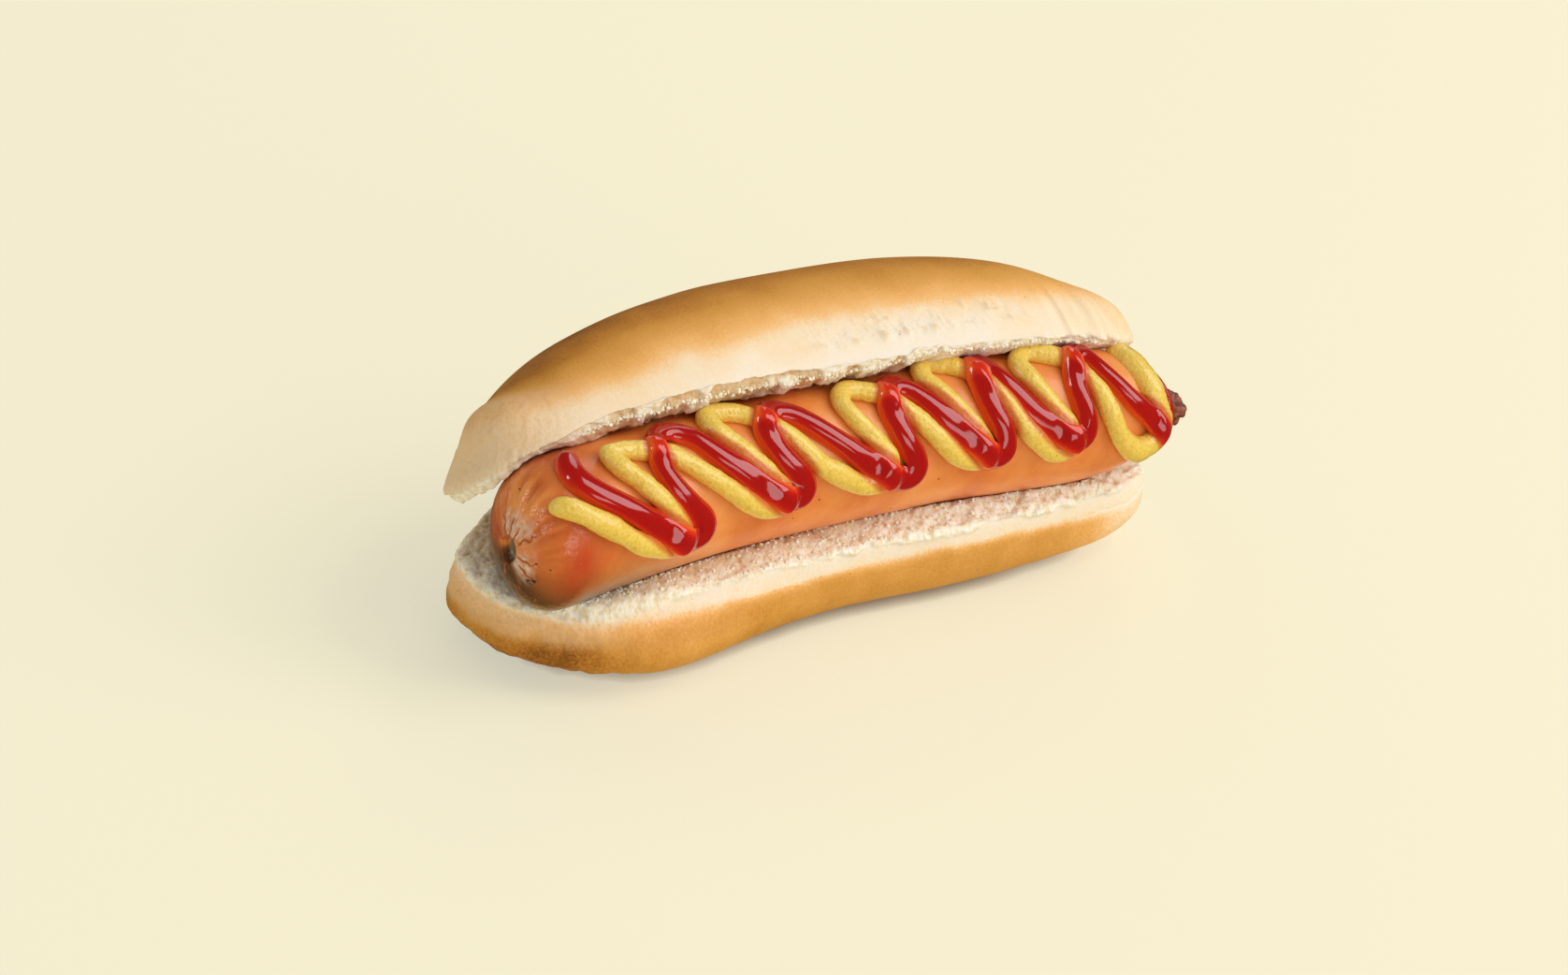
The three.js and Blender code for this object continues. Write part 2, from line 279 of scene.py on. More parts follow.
def outline(half, power, count):
    """Points of one side of the plan, x = -a cos^(2/p), y = b sin^(2/p), evenly along its length."""
    t = np.linspace(0, math.pi, 6001)
    x = -HALF_LENGTH * np.sign(np.cos(t)) * abs(np.cos(t)) ** (2 / power)
    y = half * abs(np.sin(t)) ** (2 / power)
    length = np.insert(np.cumsum(np.hypot(np.diff(x), np.diff(y))), 0, 0)
    wanted = np.linspace(0, length[-1], count + 1)
    return np.stack([np.interp(wanted, length, x), np.interp(wanted, length, y)], -1)


def spine(count):
    """Points along the spine of the plan, which stops short of the roll's ends."""
    return np.linspace((-SPINE_HALF, 0), (SPINE_HALF, 0), count + 1)


# Each column runs from a point of the spine out to a point of the outline, the front ones first.
front = outline(FRONT_HALF, FRONT_POWER, FRONT_COLUMNS) * (1, -1)
back = outline(BACK_HALF, BACK_POWER, BACK_COLUMNS)
outer = np.concatenate([front, back[-2:0:-1]])
inner = np.concatenate([spine(FRONT_COLUMNS), spine(BACK_COLUMNS)[-2:0:-1]])


def along_columns(place):
    """Plan points x, y at a share, for each ring and column, of the way from the spine out."""
    return np.moveaxis(inner + place[..., None] * (outer - inner), -1, 0)


def crossing(height):
    """Share of the way out along each column at which the crown comes down to a height."""
    low, high = np.zeros(len(outer)), np.ones(len(outer))
    for _ in range(30):  # each step halves what is left between the two
        middle = (low + high) / 2
        above = crown_height(*along_columns(middle)) > height
        low, high = np.where(above, middle, low), np.where(above, high, middle)
    return low


def shares(count, power=1):
    """Shares from just over 0 to 1, closer together towards 1 for a power under 1, as a column."""
    return (np.arange(1, count + 1) / count)[:, None] ** power


def baked_stretch(place, height):
    """Points of the closed roll [ring, column] at places along the columns, under a height rule."""
    x, y = along_columns(place)
    return np.stack([x, y, height(x, y) if callable(height) else np.broadcast_to(height, x.shape)], -1)


def opened(points, is_lid):
    """
    Turns the closed roll about its hinge. In polar coordinates round the hinge, the lid swings up
    by the opening, and the crust more than 100 degrees round is crowded together behind the hinge.
    """
    side = 1 if is_lid else -1
    x, y, z = np.moveaxis(points, -1, 0)
    out, up = HINGE_DEPTH - y, side * (z - CUT_HEIGHT)
    radius, angle = np.hypot(out, up), np.arctan2(up, out)
    swing = OPENING if is_lid else 0
    join = math.pi + (LID_JOIN if is_lid else BASE_JOIN) * OPENING
    crowded = np.maximum(0, angle - CROWDED_FROM) / (math.pi - CROWDED_FROM)
    turned = np.minimum(angle, CROWDED_FROM) + swing + crowded * (join - CROWDED_FROM - swing)
    y = HINGE_DEPTH - radius * np.cos(turned) - ROLL_BOW * (x / HALF_LENGTH) ** 2
    return np.stack([x, y, CUT_HEIGHT + side * radius * np.sin(turned)], -1)


def sausage_radius(x):
    """R * sqrt(1 - l^2.6 - r^2.2), where l and r go from 0 to 1 over the left and the right end."""
    into_left = np.maximum(0, LEFT_CAP - SAUSAGE_LEFT - x) / LEFT_CAP
    into_right = np.maximum(0, RIGHT_CAP - SAUSAGE_RIGHT + x) / RIGHT_CAP
    return SAUSAGE_RADIUS * np.sqrt(np.maximum(0, 1 - into_left**2.6 - into_right**2.2))


def sausage_axis(x):
    """Y of the sausage's axis, which bends forward towards its ends as a parabola."""
    return -SAUSAGE_FORWARD - SAUSAGE_BOW * ((x - SAUSAGE_BOW_MIDDLE) / HALF_LENGTH) ** 2


def off_sausage(points):
    """How far points lie off the sausage's skin: their distance from its axis, less its radius."""
    x, y, z = np.moveaxis(points, -1, 0)
    return np.hypot(y - sausage_axis(x), z - SAUSAGE_HEIGHT) - sausage_radius(x)


def clear_of_sausage(points, gap=0.15):
    """Moves points that lie in the sausage straight out from its axis, to a gap off its skin."""
    x, y, z = np.moveaxis(points, -1, 0)
    across, up = y - sausage_axis(x), z - SAUSAGE_HEIGHT
    distance = np.maximum(np.hypot(across, up), 1e-6)
    inside_ends = (x > -SAUSAGE_LEFT) & (x < SAUSAGE_RIGHT)
    wanted = np.where(inside_ends, sausage_radius(x) + gap, 0)
    push = np.maximum(distance, wanted) / distance
    return np.stack([x, sausage_axis(x) + across * push, SAUSAGE_HEIGHT + up * push], -1)


def grid_normals(points):
    """Unit normals of a grid [ring, column] whose columns close on themselves."""
    along = np.gradient(points, axis=0)
    around = np.roll(points, -1, 1) - np.roll(points, 1, 1)
    normals = np.cross(along, around)
    return normals / np.maximum(np.linalg.norm(normals, axis=-1, keepdims=True), 1e-9)


def raised(points, height):
    """Points moved along their normals by a height, which fades out towards the first and last ring."""
    share = np.arange(len(points))[:, None] / len(points)
    fade = smoothstep(share, 0, 0.05) * smoothstep(1 - share, 0, 0.05)
    return points + grid_normals(points) * (height * fade)[..., None]


def softened(points, middle, spread, passes):
    """The rings near a middle one, smoothed by moving each towards the mean of its neighbours."""
    rings = np.arange(len(points))[:, None, None]
    share = bell(rings, middle, spread) * 0.5
    share[0] = share[-1] = 0
    for _ in range(passes):
        mean = (np.roll(points, 1, 0) + np.roll(points, -1, 0)) / 2
        points = points + share * (mean - points)
    return points


def closed_skin(name, points, attributes, is_flipped=False):
    """
    An object from a grid of points [ring, column] in millimetres, or from many such grids. The
    columns close on themselves, and the points that coincide in the end rings are merged. The
    attributes are values of each point, numbers or vectors.
    """
    corner = np.arange(points[..., 0].size).reshape(-1, *points.shape[-3:-1])
    beside = np.roll(corner, -1, 2)
    quads = np.stack([corner[:, :-1], corner[:, 1:], beside[:, 1:], beside[:, :-1]], -1).reshape(-1, 4)
    if is_flipped:
        quads = quads[:, ::-1]
    mesh = bpy.data.meshes.new(name)
    mesh.vertices.add(corner.size)
    mesh.vertices.foreach_set("co", ((points + SHIFT) * MM).ravel())
    mesh.loops.add(quads.size)
    mesh.loops.foreach_set("vertex_index", quads.ravel())
    mesh.polygons.add(len(quads))
    mesh.polygons.foreach_set("loop_start", np.arange(len(quads)) * 4)
    for key, values in attributes.items():
        is_vector = values.ndim == points.ndim
        layer = mesh.attributes.new(key, "FLOAT_VECTOR" if is_vector else "FLOAT", "POINT")
        layer.data.foreach_set("vector" if is_vector else "value", values.astype(np.float32).ravel())
    mesh.update(calc_edges=True)
    tidy = bmesh.new()
    tidy.from_mesh(mesh)
    bmesh.ops.remove_doubles(tidy, verts=tidy.verts, dist=1e-7)
    tidy.to_mesh(mesh)
    tidy.free()
    mesh.validate()
    mesh.shade_smooth()
    piece = bpy.data.objects.new(name, mesh)
    bpy.context.collection.objects.link(piece)
    return piece


def color(red, green, blue):
    """Linear colour with full alpha from display values of 0 to 255."""
    display = np.array([red, green, blue]) / 255
    linear = np.where(display > 0.04, ((display + 0.055) / 1.055) ** 2.4, display / 12.92)
    return (*linear, 1)


def color_ramp(tree, factor, stops):
    """A blend of colours, each with its place from 0 to 1, read at a factor."""
    node = add(tree, "ValToRGB", {"Fac": factor})
    for place, value in stops[1:-1]:
        node.color_ramp.elements.new(place).color = value
    for index in (0, -1):
        node.color_ramp.elements[index].position = stops[index][0]
        node.color_ramp.elements[index].color = stops[index][1]
    return node.outputs["Color"]


def math_node(tree, operation, *values, clamp=False):
    """One arithmetic step on numbers or on other nodes' outputs."""
    node = add(tree, "Math", enumerate(values), operation=operation, use_clamp=clamp)
    return node.outputs[0]


def mix_colors(tree, share, first, second):
    """The first colour, going over to the second as the share goes from 0 to 1."""
    return add(tree, "Mix", {0: share, 6: first, 7: second}, data_type="RGBA").outputs[2]


def point_value(tree, name):
    """A number that each point of the mesh carries under a name."""
    return add(tree, "Attribute", attribute_name=name).outputs["Fac"]


def bumps(tree, height, distance, strength):
    """Normals of the surface as if it were raised by a height, from 0 to 1, times a distance in metres."""
    inputs = {"Height": height, "Distance": distance, "Strength": strength}
    return add(tree, "Bump", inputs).outputs["Normal"]


def effect(name, inputs, outputs):
    """An empty node group with named input and output sockets, each with its kind."""
    group = bpy.data.node_groups.new(name, "ShaderNodeTree")
    for in_out, sockets in (("INPUT", inputs), ("OUTPUT", outputs)):
        for label, kind in sockets.items():
            group.interface.new_socket(label, in_out=in_out, socket_type="NodeSocket" + kind)
    return group, group.nodes.new("NodeGroupInput").outputs, group.nodes.new("NodeGroupOutput").inputs


def use_effect(tree, group, inputs):
    """The outputs of an effect, used once more with these inputs."""
    return add(tree, "Group", inputs, node_tree=group).outputs


# Soft noise from 0 to 1 with features of a size, in the units of the place.
grain_inputs = {"Place": "Vector", "Size": "Float", "Detail": "Float", "Roughness": "Float"}
grain_effect, given, result = effect("grain", grain_inputs, {"Grain": "Float"})
per_size = math_node(grain_effect, "DIVIDE", 1.0, given["Size"])
noise_inputs = {"Vector": given["Place"], "Scale": per_size}
noise_inputs |= {name: given[name] for name in ("Detail", "Roughness")}
grain_effect.links.new(add(grain_effect, "TexNoise", noise_inputs).outputs["Fac"], result["Grain"])


def grain(tree, place, size, detail=2, roughness=0.5):
    """The grain effect's output at a place."""
    inputs = {"Place": place, "Size": size, "Detail": detail, "Roughness": roughness}
    return use_effect(tree, grain_effect, inputs)["Grain"]


# Flecks: small round spots, one here and there, 1 in their middles and 0 between them.
fleck_inputs = {"Place": "Vector", "Spacing": "Float", "Spot": "Float", "Rarity": "Float"}
fleck_effect, given, result = effect("flecks", fleck_inputs, {"Fleck": "Float"})
per_spacing = math_node(fleck_effect, "DIVIDE", 1.0, given["Spacing"])
cells = add(fleck_effect, "TexVoronoi", {"Vector": given["Place"], "Scale": per_spacing}).outputs
lot = add(fleck_effect, "SeparateColor", {"Color": cells["Color"]}).outputs[0]
spot = math_node(fleck_effect, "DIVIDE", cells["Distance"], given["Spot"])
spot = math_node(fleck_effect, "SUBTRACT", 1.0, spot, clamp=True)
is_drawn = math_node(fleck_effect, "GREATER_THAN", lot, given["Rarity"])
fleck = math_node(fleck_effect, "MULTIPLY", spot, is_drawn)
fleck_effect.links.new(math_node(fleck_effect, "MULTIPLY", fleck, 2.5, clamp=True), result["Fleck"])


def flecks(tree, place, spacing, spot, rarity):
    """The fleck effect's output: spots of a share of the spacing, rarer as the rarity nears 1."""
    inputs = {"Place": place, "Spacing": spacing, "Spot": spot, "Rarity": rarity}
    return use_effect(tree, fleck_effect, inputs)["Fleck"]


# Torn crumb: warm white walls round small pores, going over to a browner colour, painted shade, by the
# share given to it.
crumb_inputs = {"Place": "Vector", "Depth": "Float"}
crumb_effect, given, result = effect("torn_crumb", crumb_inputs, {"Color": "Color", "Height": "Float"})
pores = grain(crumb_effect, given["Place"], 0.9, detail=3, roughness=0.5)
crumb_color = color_ramp(
    crumb_effect,
    pores,
    [(0.32, color(237, 216, 174)), (0.46, color(248, 236, 206)), (0.6, color(254, 249, 234))],
)
crumb_color = mix_colors(crumb_effect, given["Depth"], crumb_color, color(206, 158, 94))
crumb_effect.links.new(crumb_color, result["Color"])
crumb_effect.links.new(pores, result["Height"])

BASE_FACE_RINGS, BASE_SIDE_RINGS, BASE_SOLE_RINGS = 46, 24, 40
SWELLING_X, SWELLING_WIDTH, SWELLING_OUT = -48, 23, 7  # low on the front of the base
BACK_PINCH = 0.32  # how much narrower the base is at its back left corner
# How brown the crust is, from 0 to 1, at heights over the tray: along the front, where it is pale
# up to the cut, and round the left end, where it is darker low down: partly browning, partly painted shade.
FRONT_BROWNING = [(0, 0.74), (3, 0.62), (11.5, 0.55), (12.7, 0.43), (14.3, 0.08), (CUT_HEIGHT, 0)]
LEFT_BROWNING_AND_SHADE = [(0, 0.84), (9, 0.8), (11, 0.66), (13, 0.42), (CUT_HEIGHT, 0.15)]
ALONG_TEAR, ACROSS_TEAR = np.array([0.82, 0.57, 0]), np.array([-0.57, 0.82, 0])


def shaped_base(points):
    """The base swells low on its front, left of the middle, and is pinched at its back left corner."""
    x, y, z = np.moveaxis(points, -1, 0)
    low = smooth_fall(z, 8, CUT_HEIGHT)
    out = SWELLING_OUT * bell(x, SWELLING_X, SWELLING_WIDTH) * low * smoothstep(-y, 8, FRONT_HALF)
    pinched = np.where(y > 0, y * (1 - BACK_PINCH * smoothstep(-x, 42, 72)), y)
    return np.stack([x, pinched - out, z], -1)


rim = crossing(CUT_HEIGHT)
on_spine = np.zeros((1, len(outer)))
baked = np.concatenate(
    [
        baked_stretch(on_spine, CUT_HEIGHT),
        baked_stretch(shares(BASE_FACE_RINGS, 0.7) * rim, CUT_HEIGHT),
        baked_stretch(1 - (1 - rim) * (1 - shares(BASE_SIDE_RINGS)) ** 2, crown_height),
        baked_stretch(np.cos(shares(BASE_SOLE_RINGS) * math.pi / 2), sole_height),
    ]
)
ring = np.arange(len(baked))[:, None]
x, y, z = np.moveaxis(baked, -1, 0)
at_left = smoothstep(-x, 38, 60)
at_right = smoothstep(x, 42, 66)

# The crumb is torn a little way down over the rim, raggedly, and furthest near the left end.
below_cut = np.where(ring > BASE_FACE_RINGS, CUT_HEIGHT - z, 0)
ragged = noise(baked, 3.5, seed=1)
torn_down = 1.7 * bell(x, -57, 13) * (1 - 0.3 * ragged)
torn_edge = 1.1 + 0.8 * ragged + 0.9 * torn_down
torn = smooth_fall(below_cut - torn_down, 0.3 + 0.5 * ragged, torn_edge)

edge_height = z + 0.7 * noise(baked, 9, seed=2)
browning = np.interp(edge_height, *zip(*FRONT_BROWNING))
browning += 0.08 * bell(x, -18, 22) * (browning > 0.2)
# Low down round the left end the crust is darker, partly browning and partly painted shade.
left_browning_and_shade = np.interp(edge_height, *zip(*LEFT_BROWNING_AND_SHADE))
near_left_end = smoothstep(-x, 52, 68) - smoothstep(-x, 69, 75)
left_browning_and_shade += 0.18 * near_left_end * smooth_fall(edge_height, 10, 14)
browning += at_left * (left_browning_and_shade - browning) - 0.35 * at_right * (browning > 0.2)
browning = browning + 0.05 * (1 - at_left) * smoothstep(browning, 0.3, 0.6)
browning += 0.05 * noise(baked, 5, seed=7) * smoothstep(browning, 0.1, 0.5)
browning = np.where(ring > BASE_FACE_RINGS, np.clip(browning, 0, 1), 0)

points = opened(shaped_base(baked), is_lid=False)
points = softened(points, BASE_FACE_RINGS, spread=3, passes=8)
flaps = ridges(np.stack([baked @ ALONG_TEAR / 3, baked @ ACROSS_TEAR, z], -1), 1.9, seed=8)
relief = 0.35 * (lumps(baked, 2.3, seed=3) - 0.5) + 0.36 * (lumps(baked, 1.1, seed=4) - 0.5)
relief += 0.35 * noise(baked, 6, seed=5) + 0.5 * flaps * smoothstep(x, -20, 25)
relief += (lumps(baked, 3.4, seed=34) - 0.5) * at_left

# Beside the sausage the crumb is banked up against it. The torn crumb gets painted shade in its hollows,
# beside the sausage, and a little over the left end.
close = smooth_fall(off_sausage(points), 0.3, 4.5)
banked = close * stretch(points[..., 0], (-58, -42), (62, 70))
close = close * smooth_fall(x, -12, 36) * (1 - at_left)
painted_shade = torn * (0.34 * smooth_fall(relief, -0.7, 0.2) + 0.7 * close + 0.14 * at_left)

# The crust of the left end gets painted shade in patches, greyer and darker, with some of the look of
# crumb.
left_end_shade = smoothstep(-x, 50, 68) * smoothstep(z, 10, 13) * (1 - torn)
left_end_shade = left_end_shade * (1 - 0.7 * smoothstep(z, 14.5, 17))
left_end_shade = left_end_shade * np.clip(0.8 + 0.5 * noise(baked, 4, seed=35), 0, 1)

swell = (0.3 * noise(baked, 24, seed=6, octaves=2) + 0.1 * noise(baked, 5, seed=10)) * (1 - torn)
swell += 0.4 * bell(torn, 0.5, 0.3) * np.clip(0.6 + ragged, 0, 1)
swell += 0.38 * noise(baked, 3.2, seed=9, octaves=2) * at_left * smoothstep(browning, 0.2, 0.6)
swell += 1.3 * banked * torn
torn = torn + 0.4 * left_end_shade
painted_shade = painted_shade + 0.65 * left_end_shade
points = clear_of_sausage(raised(points, np.clip(torn, 0, 1) * relief + swell))
points[..., 2] = np.maximum(points[..., 2], 0)
base_points = points
base_values = {"baked": baked, "torn": torn, "painted_shade": painted_shade, "browning": browning}
base = closed_skin("roll_base", points, base_values)

# How crust and crumb alike take the light.
BREAD_LIGHT = {
    "Specular IOR Level": 0.18,
    "Subsurface Radius": (1, 0.7, 0.45),
    "Subsurface Scale": 0.0015,
}

bread, tree = new_material("bread")
place = add(tree, "Attribute", attribute_name="baked").outputs["Vector"]
torn_here, painted_shade_here = point_value(tree, "torn"), point_value(tree, "painted_shade")
speckle = grain(tree, place, 0.5, detail=4, roughness=0.6)
mottle = grain(tree, place, 7, detail=3)
height_here = add(tree, "SeparateXYZ", {0: place}).outputs["Z"]
is_base = math_node(tree, "LESS_THAN", height_here, CUT_HEIGHT)
coarseness = math_node(tree, "MULTIPLY_ADD", is_base, 0.25, 0.22)  # 0.22 on the lid, more on the base
evenness = math_node(tree, "SUBTRACT", speckle, 0.5)
baking = math_node(tree, "MULTIPLY_ADD", evenness, coarseness, point_value(tree, "browning"))
baking = math_node(tree, "MULTIPLY_ADD", mottle, 0.16, baking)
baking = math_node(tree, "SUBTRACT", baking, 0.08)
crust_color = color_ramp(
    tree,
    baking,
    [
        (0.00, color(245, 232, 212)),
        (0.16, color(247, 219, 178)),
        (0.30, color(244, 193, 128)),
        (0.42, color(236, 175, 98)),
        (0.55, color(222, 160, 78)),
        (0.75, color(206, 143, 56)),
        (0.88, color(184, 118, 38)),
        (1.00, color(144, 86, 22)),
    ],
)
specks = flecks(tree, place, 2.4, spot=0.07, rarity=0.8)
crust_color = mix_colors(tree, specks, crust_color, color(176, 122, 62))
# The torn crumb is darkened by the painted shade that each point carries.
crumb = use_effect(tree, crumb_effect, {"Place": place, "Depth": painted_shade_here})
bump_height = math_node(tree, "MULTIPLY", crumb["Height"], torn_here)
bump_height = math_node(tree, "MULTIPLY_ADD", speckle, 0.15, bump_height)
finish_material(
    tree,
    {
        "Base Color": mix_colors(tree, torn_here, crust_color, crumb["Color"]),
        "Roughness": math_node(tree, "MULTIPLY_ADD", torn_here, 0.25, 0.62),
        "Subsurface Weight": math_node(tree, "MULTIPLY_ADD", torn_here, -0.15, 0.3),
        **BREAD_LIGHT,
        "Normal": bumps(tree, bump_height, 0.0006, 0.7),
    },
)
base.data.materials.append(bread)
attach(base, "root")
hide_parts("roll")

# ---- Roll: the lid -----------------------------------------------------------------------------
# The upper half, golden brown on top and pale down to the lip. It hangs back on its crust like a
# hinge, and a band of torn crumb shows along its lip where the two halves were pulled apart.

LID_FACE_RINGS, LID_STRIP_RINGS, LID_CROWN_RINGS = 30, 16, 74
LID_OVERHANG, LID_SHORT = 1.6, 2  # at the left end and at the right end
STRIP_SLOPE = 0.04
LID_SUNK = 1.1  # how far the face sinks towards the sausage, at most
# How brown the crust is, from 0 to 1, at heights over the tray while the roll is closed.
LID_BROWNING = [
    (17.5, 0), (23.5, 0.06), (26, 0.16), (28, 0.3), (30, 0.42), (32, 0.55), (34.5, 0.74), (38, 0.86),
    (43, 0.95),
]
# The torn band along the open side: X, its lower edge and its upper edge, both over the cut.
TORN_BAND = [
    (-75, -3.8, -1.9), (-72, -3.0, -1.7), (-70, -1.8, -1.2), (-64, -0.8, 0.1), (-57, -0.1, 1.5),
    (-49, 0.2, 1.8), (-36, -0.1, 2.0), (-25, -0.4, 1.6), (-14, -0.8, 1.2), (-3, -1.0, 0.4),
    (12.2, -1.2, 0.1), (13.2, -0.4, 0.9), (19, -0.1, 0.8), (24, -0.3, 0.1), (35, -0.8, 0),
    (41, -0.7, -0.4), (49, -1.0, -0.5), (57, -1.8, -1.1), (66, -2.3, -1.6), (72, -2.0, -1.2), (75, -0.6, 0),
]

lip_x, lip_y = outer.T
lip_place = np.stack([lip_x, lip_y, 0 * lip_x], -1)
on_front = smooth_fall(lip_y, -2, 12)
band_x, band_low, band_high = np.array(TORN_BAND).T
ragged = 0.25 * noise(lip_place, 2.2, seed=11) + 0.25 * noise(lip_place, 0.9, seed=12, octaves=2)
ragged += 0.35 * (1 + noise(lip_place, 3, seed=19, octaves=1)) * smoothstep(-lip_x, 60, 68)
tear_height = CUT_HEIGHT + on_front * (np.interp(lip_x, band_x, band_low) + ragged)
lip_height = CUT_HEIGHT + on_front * np.interp(lip_x, band_x, band_high)
lip_height = np.maximum(tear_height + 0.5, lip_height + 0.25 * noise(lip_place, 1.6, seed=15))
lip = crossing(np.maximum(lip_height, CUT_HEIGHT + 0.2))
smooth_lip = crossing(CUT_HEIGHT + np.maximum(0.2, on_front * np.interp(lip_x, band_x, band_high)))
face_share = shares(LID_FACE_RINGS, 0.7)
face_height = CUT_HEIGHT + (tear_height - CUT_HEIGHT) * face_share**4
strip_share = shares(LID_STRIP_RINGS)
strip_rise = tear_height + (lip_height - tear_height) * strip_share
baked = np.concatenate(
    [
        baked_stretch(on_spine, CUT_HEIGHT),
        baked_stretch(face_share * (smooth_lip - STRIP_SLOPE), face_height),
        baked_stretch(
            smooth_lip + (lip - smooth_lip) * strip_share**4 - STRIP_SLOPE * (1 - strip_share), strip_rise
        ),
        baked_stretch(lip * np.cos(shares(LID_CROWN_RINGS) * math.pi / 2), crown_height),
    ]
)
ring = np.arange(len(baked))[:, None]
lip_ring = LID_FACE_RINGS + LID_STRIP_RINGS
x, y, z = np.moveaxis(baked, -1, 0)
torn = (ring < lip_ring) + (ring == lip_ring) * 0.6 + 0 * x
edge_height = z + 0.7 * noise(baked, 9, seed=12)
# Towards the left end the crust is darker, partly browning and partly painted shade.
edge_height += 4 * smoothstep(-x, 32, 66) * smoothstep(z, 20, 26)
browning = np.interp(edge_height, *zip(*LID_BROWNING))
browning += 0.11 * smooth_fall(x, -50, -5) + 0.06 * smoothstep(-x, 52, 66)
browning += 0.09 * smoothstep(x, 20, 45) + 0.1 * smoothstep(x, 52, 64)
browning += 0.07 * bell(x, -10, 8) * bell(z, 22, 3)
browning = np.where(ring > LID_FACE_RINGS, browning, 0)

shaped = baked.copy()
hanging = smoothstep(-x, 45, HALF_LENGTH) * smooth_fall(z, 15, 25)
shaped[..., 0] -= LID_OVERHANG * hanging
shaped[..., 0] -= LID_SHORT * smoothstep(x, 60, HALF_LENGTH)
points = opened(shaped, is_lid=True)

# The band is torn in chunks and small knobs, more shallowly where it is thin.
chunks = smoothstep(noise(baked * (1, 1, 0.6), 4.5, seed=13, octaves=2), -0.08, 0.06)
knobs = lumps(baked, 1.2, seed=14)
thin_band = smoothstep(x, 12, 16) + smoothstep(-x, 46, 58)
relief = (0.6 * chunks + 0.35 * knobs - 0.5) * (1 - 0.5 * thin_band)
# Painted shade darkens the torn band between its chunks and knobs, less where the band is thin.
painted_shade = torn * np.clip(1.05 - 0.5 * chunks - 0.4 * knobs, 0.2, 1) * (1 - 0.7 * thin_band)

# The crust is blunt at both ends, folded near the right end, and has shreds pulled out of it over the
# right half of the band.
swell = 0.3 * noise(baked, 24, seed=16, octaves=2) * (1 - torn)
blunt = bell(x, 68, 8) * bell(z, 23, 6)
blunt += 2.5 * bell(x, -72, 8) * bell(z, 26, 5) * smoothstep(z, 17.5, 22)
swell += 1.8 * blunt * smooth_fall(y, -6, 6) * (ring >= lip_ring)
at_folds = stretch(x, (44, 50), (58, 66)) * smooth_fall(z, 24, 31) * (y < 0)
folds = ridges(baked * (1, 0.2, 0.12), 3.2, seed=17, octaves=2)
pulled = stretch(z, (20, 22.5), (25, 28)) * stretch(x, (-14, 0), (36, 46))
shreds = noise(baked, 2.2, seed=18)
swell += (0.5 * at_folds * folds + 0.3 * pulled * shreds) * (1 - torn)
# Painted shade lies in the pits between the pulled shreds.
painted_shade += pulled * (0.2 + 0.6 * smoothstep(shreds, 0.35, 0.6)) * (1 - torn)
torn = np.maximum(torn, 0.5 * pulled * smoothstep(abs(shreds), 0.1, 0.5))
# The crust of the lid's left end gets painted shade, greyer and darker, with some of the look of crumb.
left_end_shade = smoothstep(-x, 50, 68) * smooth_fall(z, 24, 29) * (1 - torn)
torn = torn + 0.5 * left_end_shade
painted_shade = painted_shade + 0.7 * left_end_shade
points = raised(points, -(torn * relief + swell))

# Just inside the band the face sinks towards the sausage.
across = points[..., 1] - sausage_axis(points[..., 0])
up = points[..., 2] - SAUSAGE_HEIGHT
most = np.interp(ring, [0, 18, 26, LID_FACE_RINGS], [0, 0, LID_SUNK, 0])
sunk = np.clip(off_sausage(points), 0, most) * smooth_fall(abs(x), 56, 64) * (y < 0)
sunk = sunk / np.maximum(np.hypot(across, up), 1)
points[..., 1] -= across * sunk
points[..., 2] -= up * sunk
points = clear_of_sausage(points)
lid_points = points
lid_values = {"baked": baked, "torn": torn, "painted_shade": painted_shade, "browning": browning}
lid = closed_skin("roll_lid", points, lid_values, is_flipped=True)
lid.data.materials.append(bread)
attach(lid, "root")
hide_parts("roll")

# ---- Roll: tufts of crumb ----------------------------------------------------------------------
# Small knobs of crumb that stand out of the torn surfaces of the same bread: along the lip of the lid,
# along the rim of the base, and where the base's crumb meets the sausage. They are grown together
# with the crumb that they sit on.

LIP_TUFTS, RIM_TUFTS, CONTACT_TUFTS = 420, 300, 620
CONTACT_GAP = 0.9
TUFT_RINGS, TUFT_COLUMNS = 6, 9
TUFT_RADIUS = (0.16, 0.42)  # the least and the most
TUFT_STRETCH = (0.6, 1.25)  # of each of its three radii


def scattered(points, first_ring, last_ring, count, seed):
    """Random points of the front columns of a roll's half, between two of its rings."""
    draw = np.random.default_rng(seed)
    rings = draw.integers(first_ring, last_ring + 1, count)
    columns = draw.integers(FRONT_COLUMNS // 6, FRONT_COLUMNS * 5 // 6, count)
    return points[rings, columns]


def against_skin(points, count, seed):
    """Random points of the front of the base that lie close to the sausage's skin."""
    x, y, z = np.moveaxis(points, -1, 0)
    is_close = off_sausage(points) < CONTACT_GAP
    near = points[is_close & (y < sausage_axis(x) - 5) & (abs(x) < 68)]
    return np.random.default_rng(seed).choice(near, count)


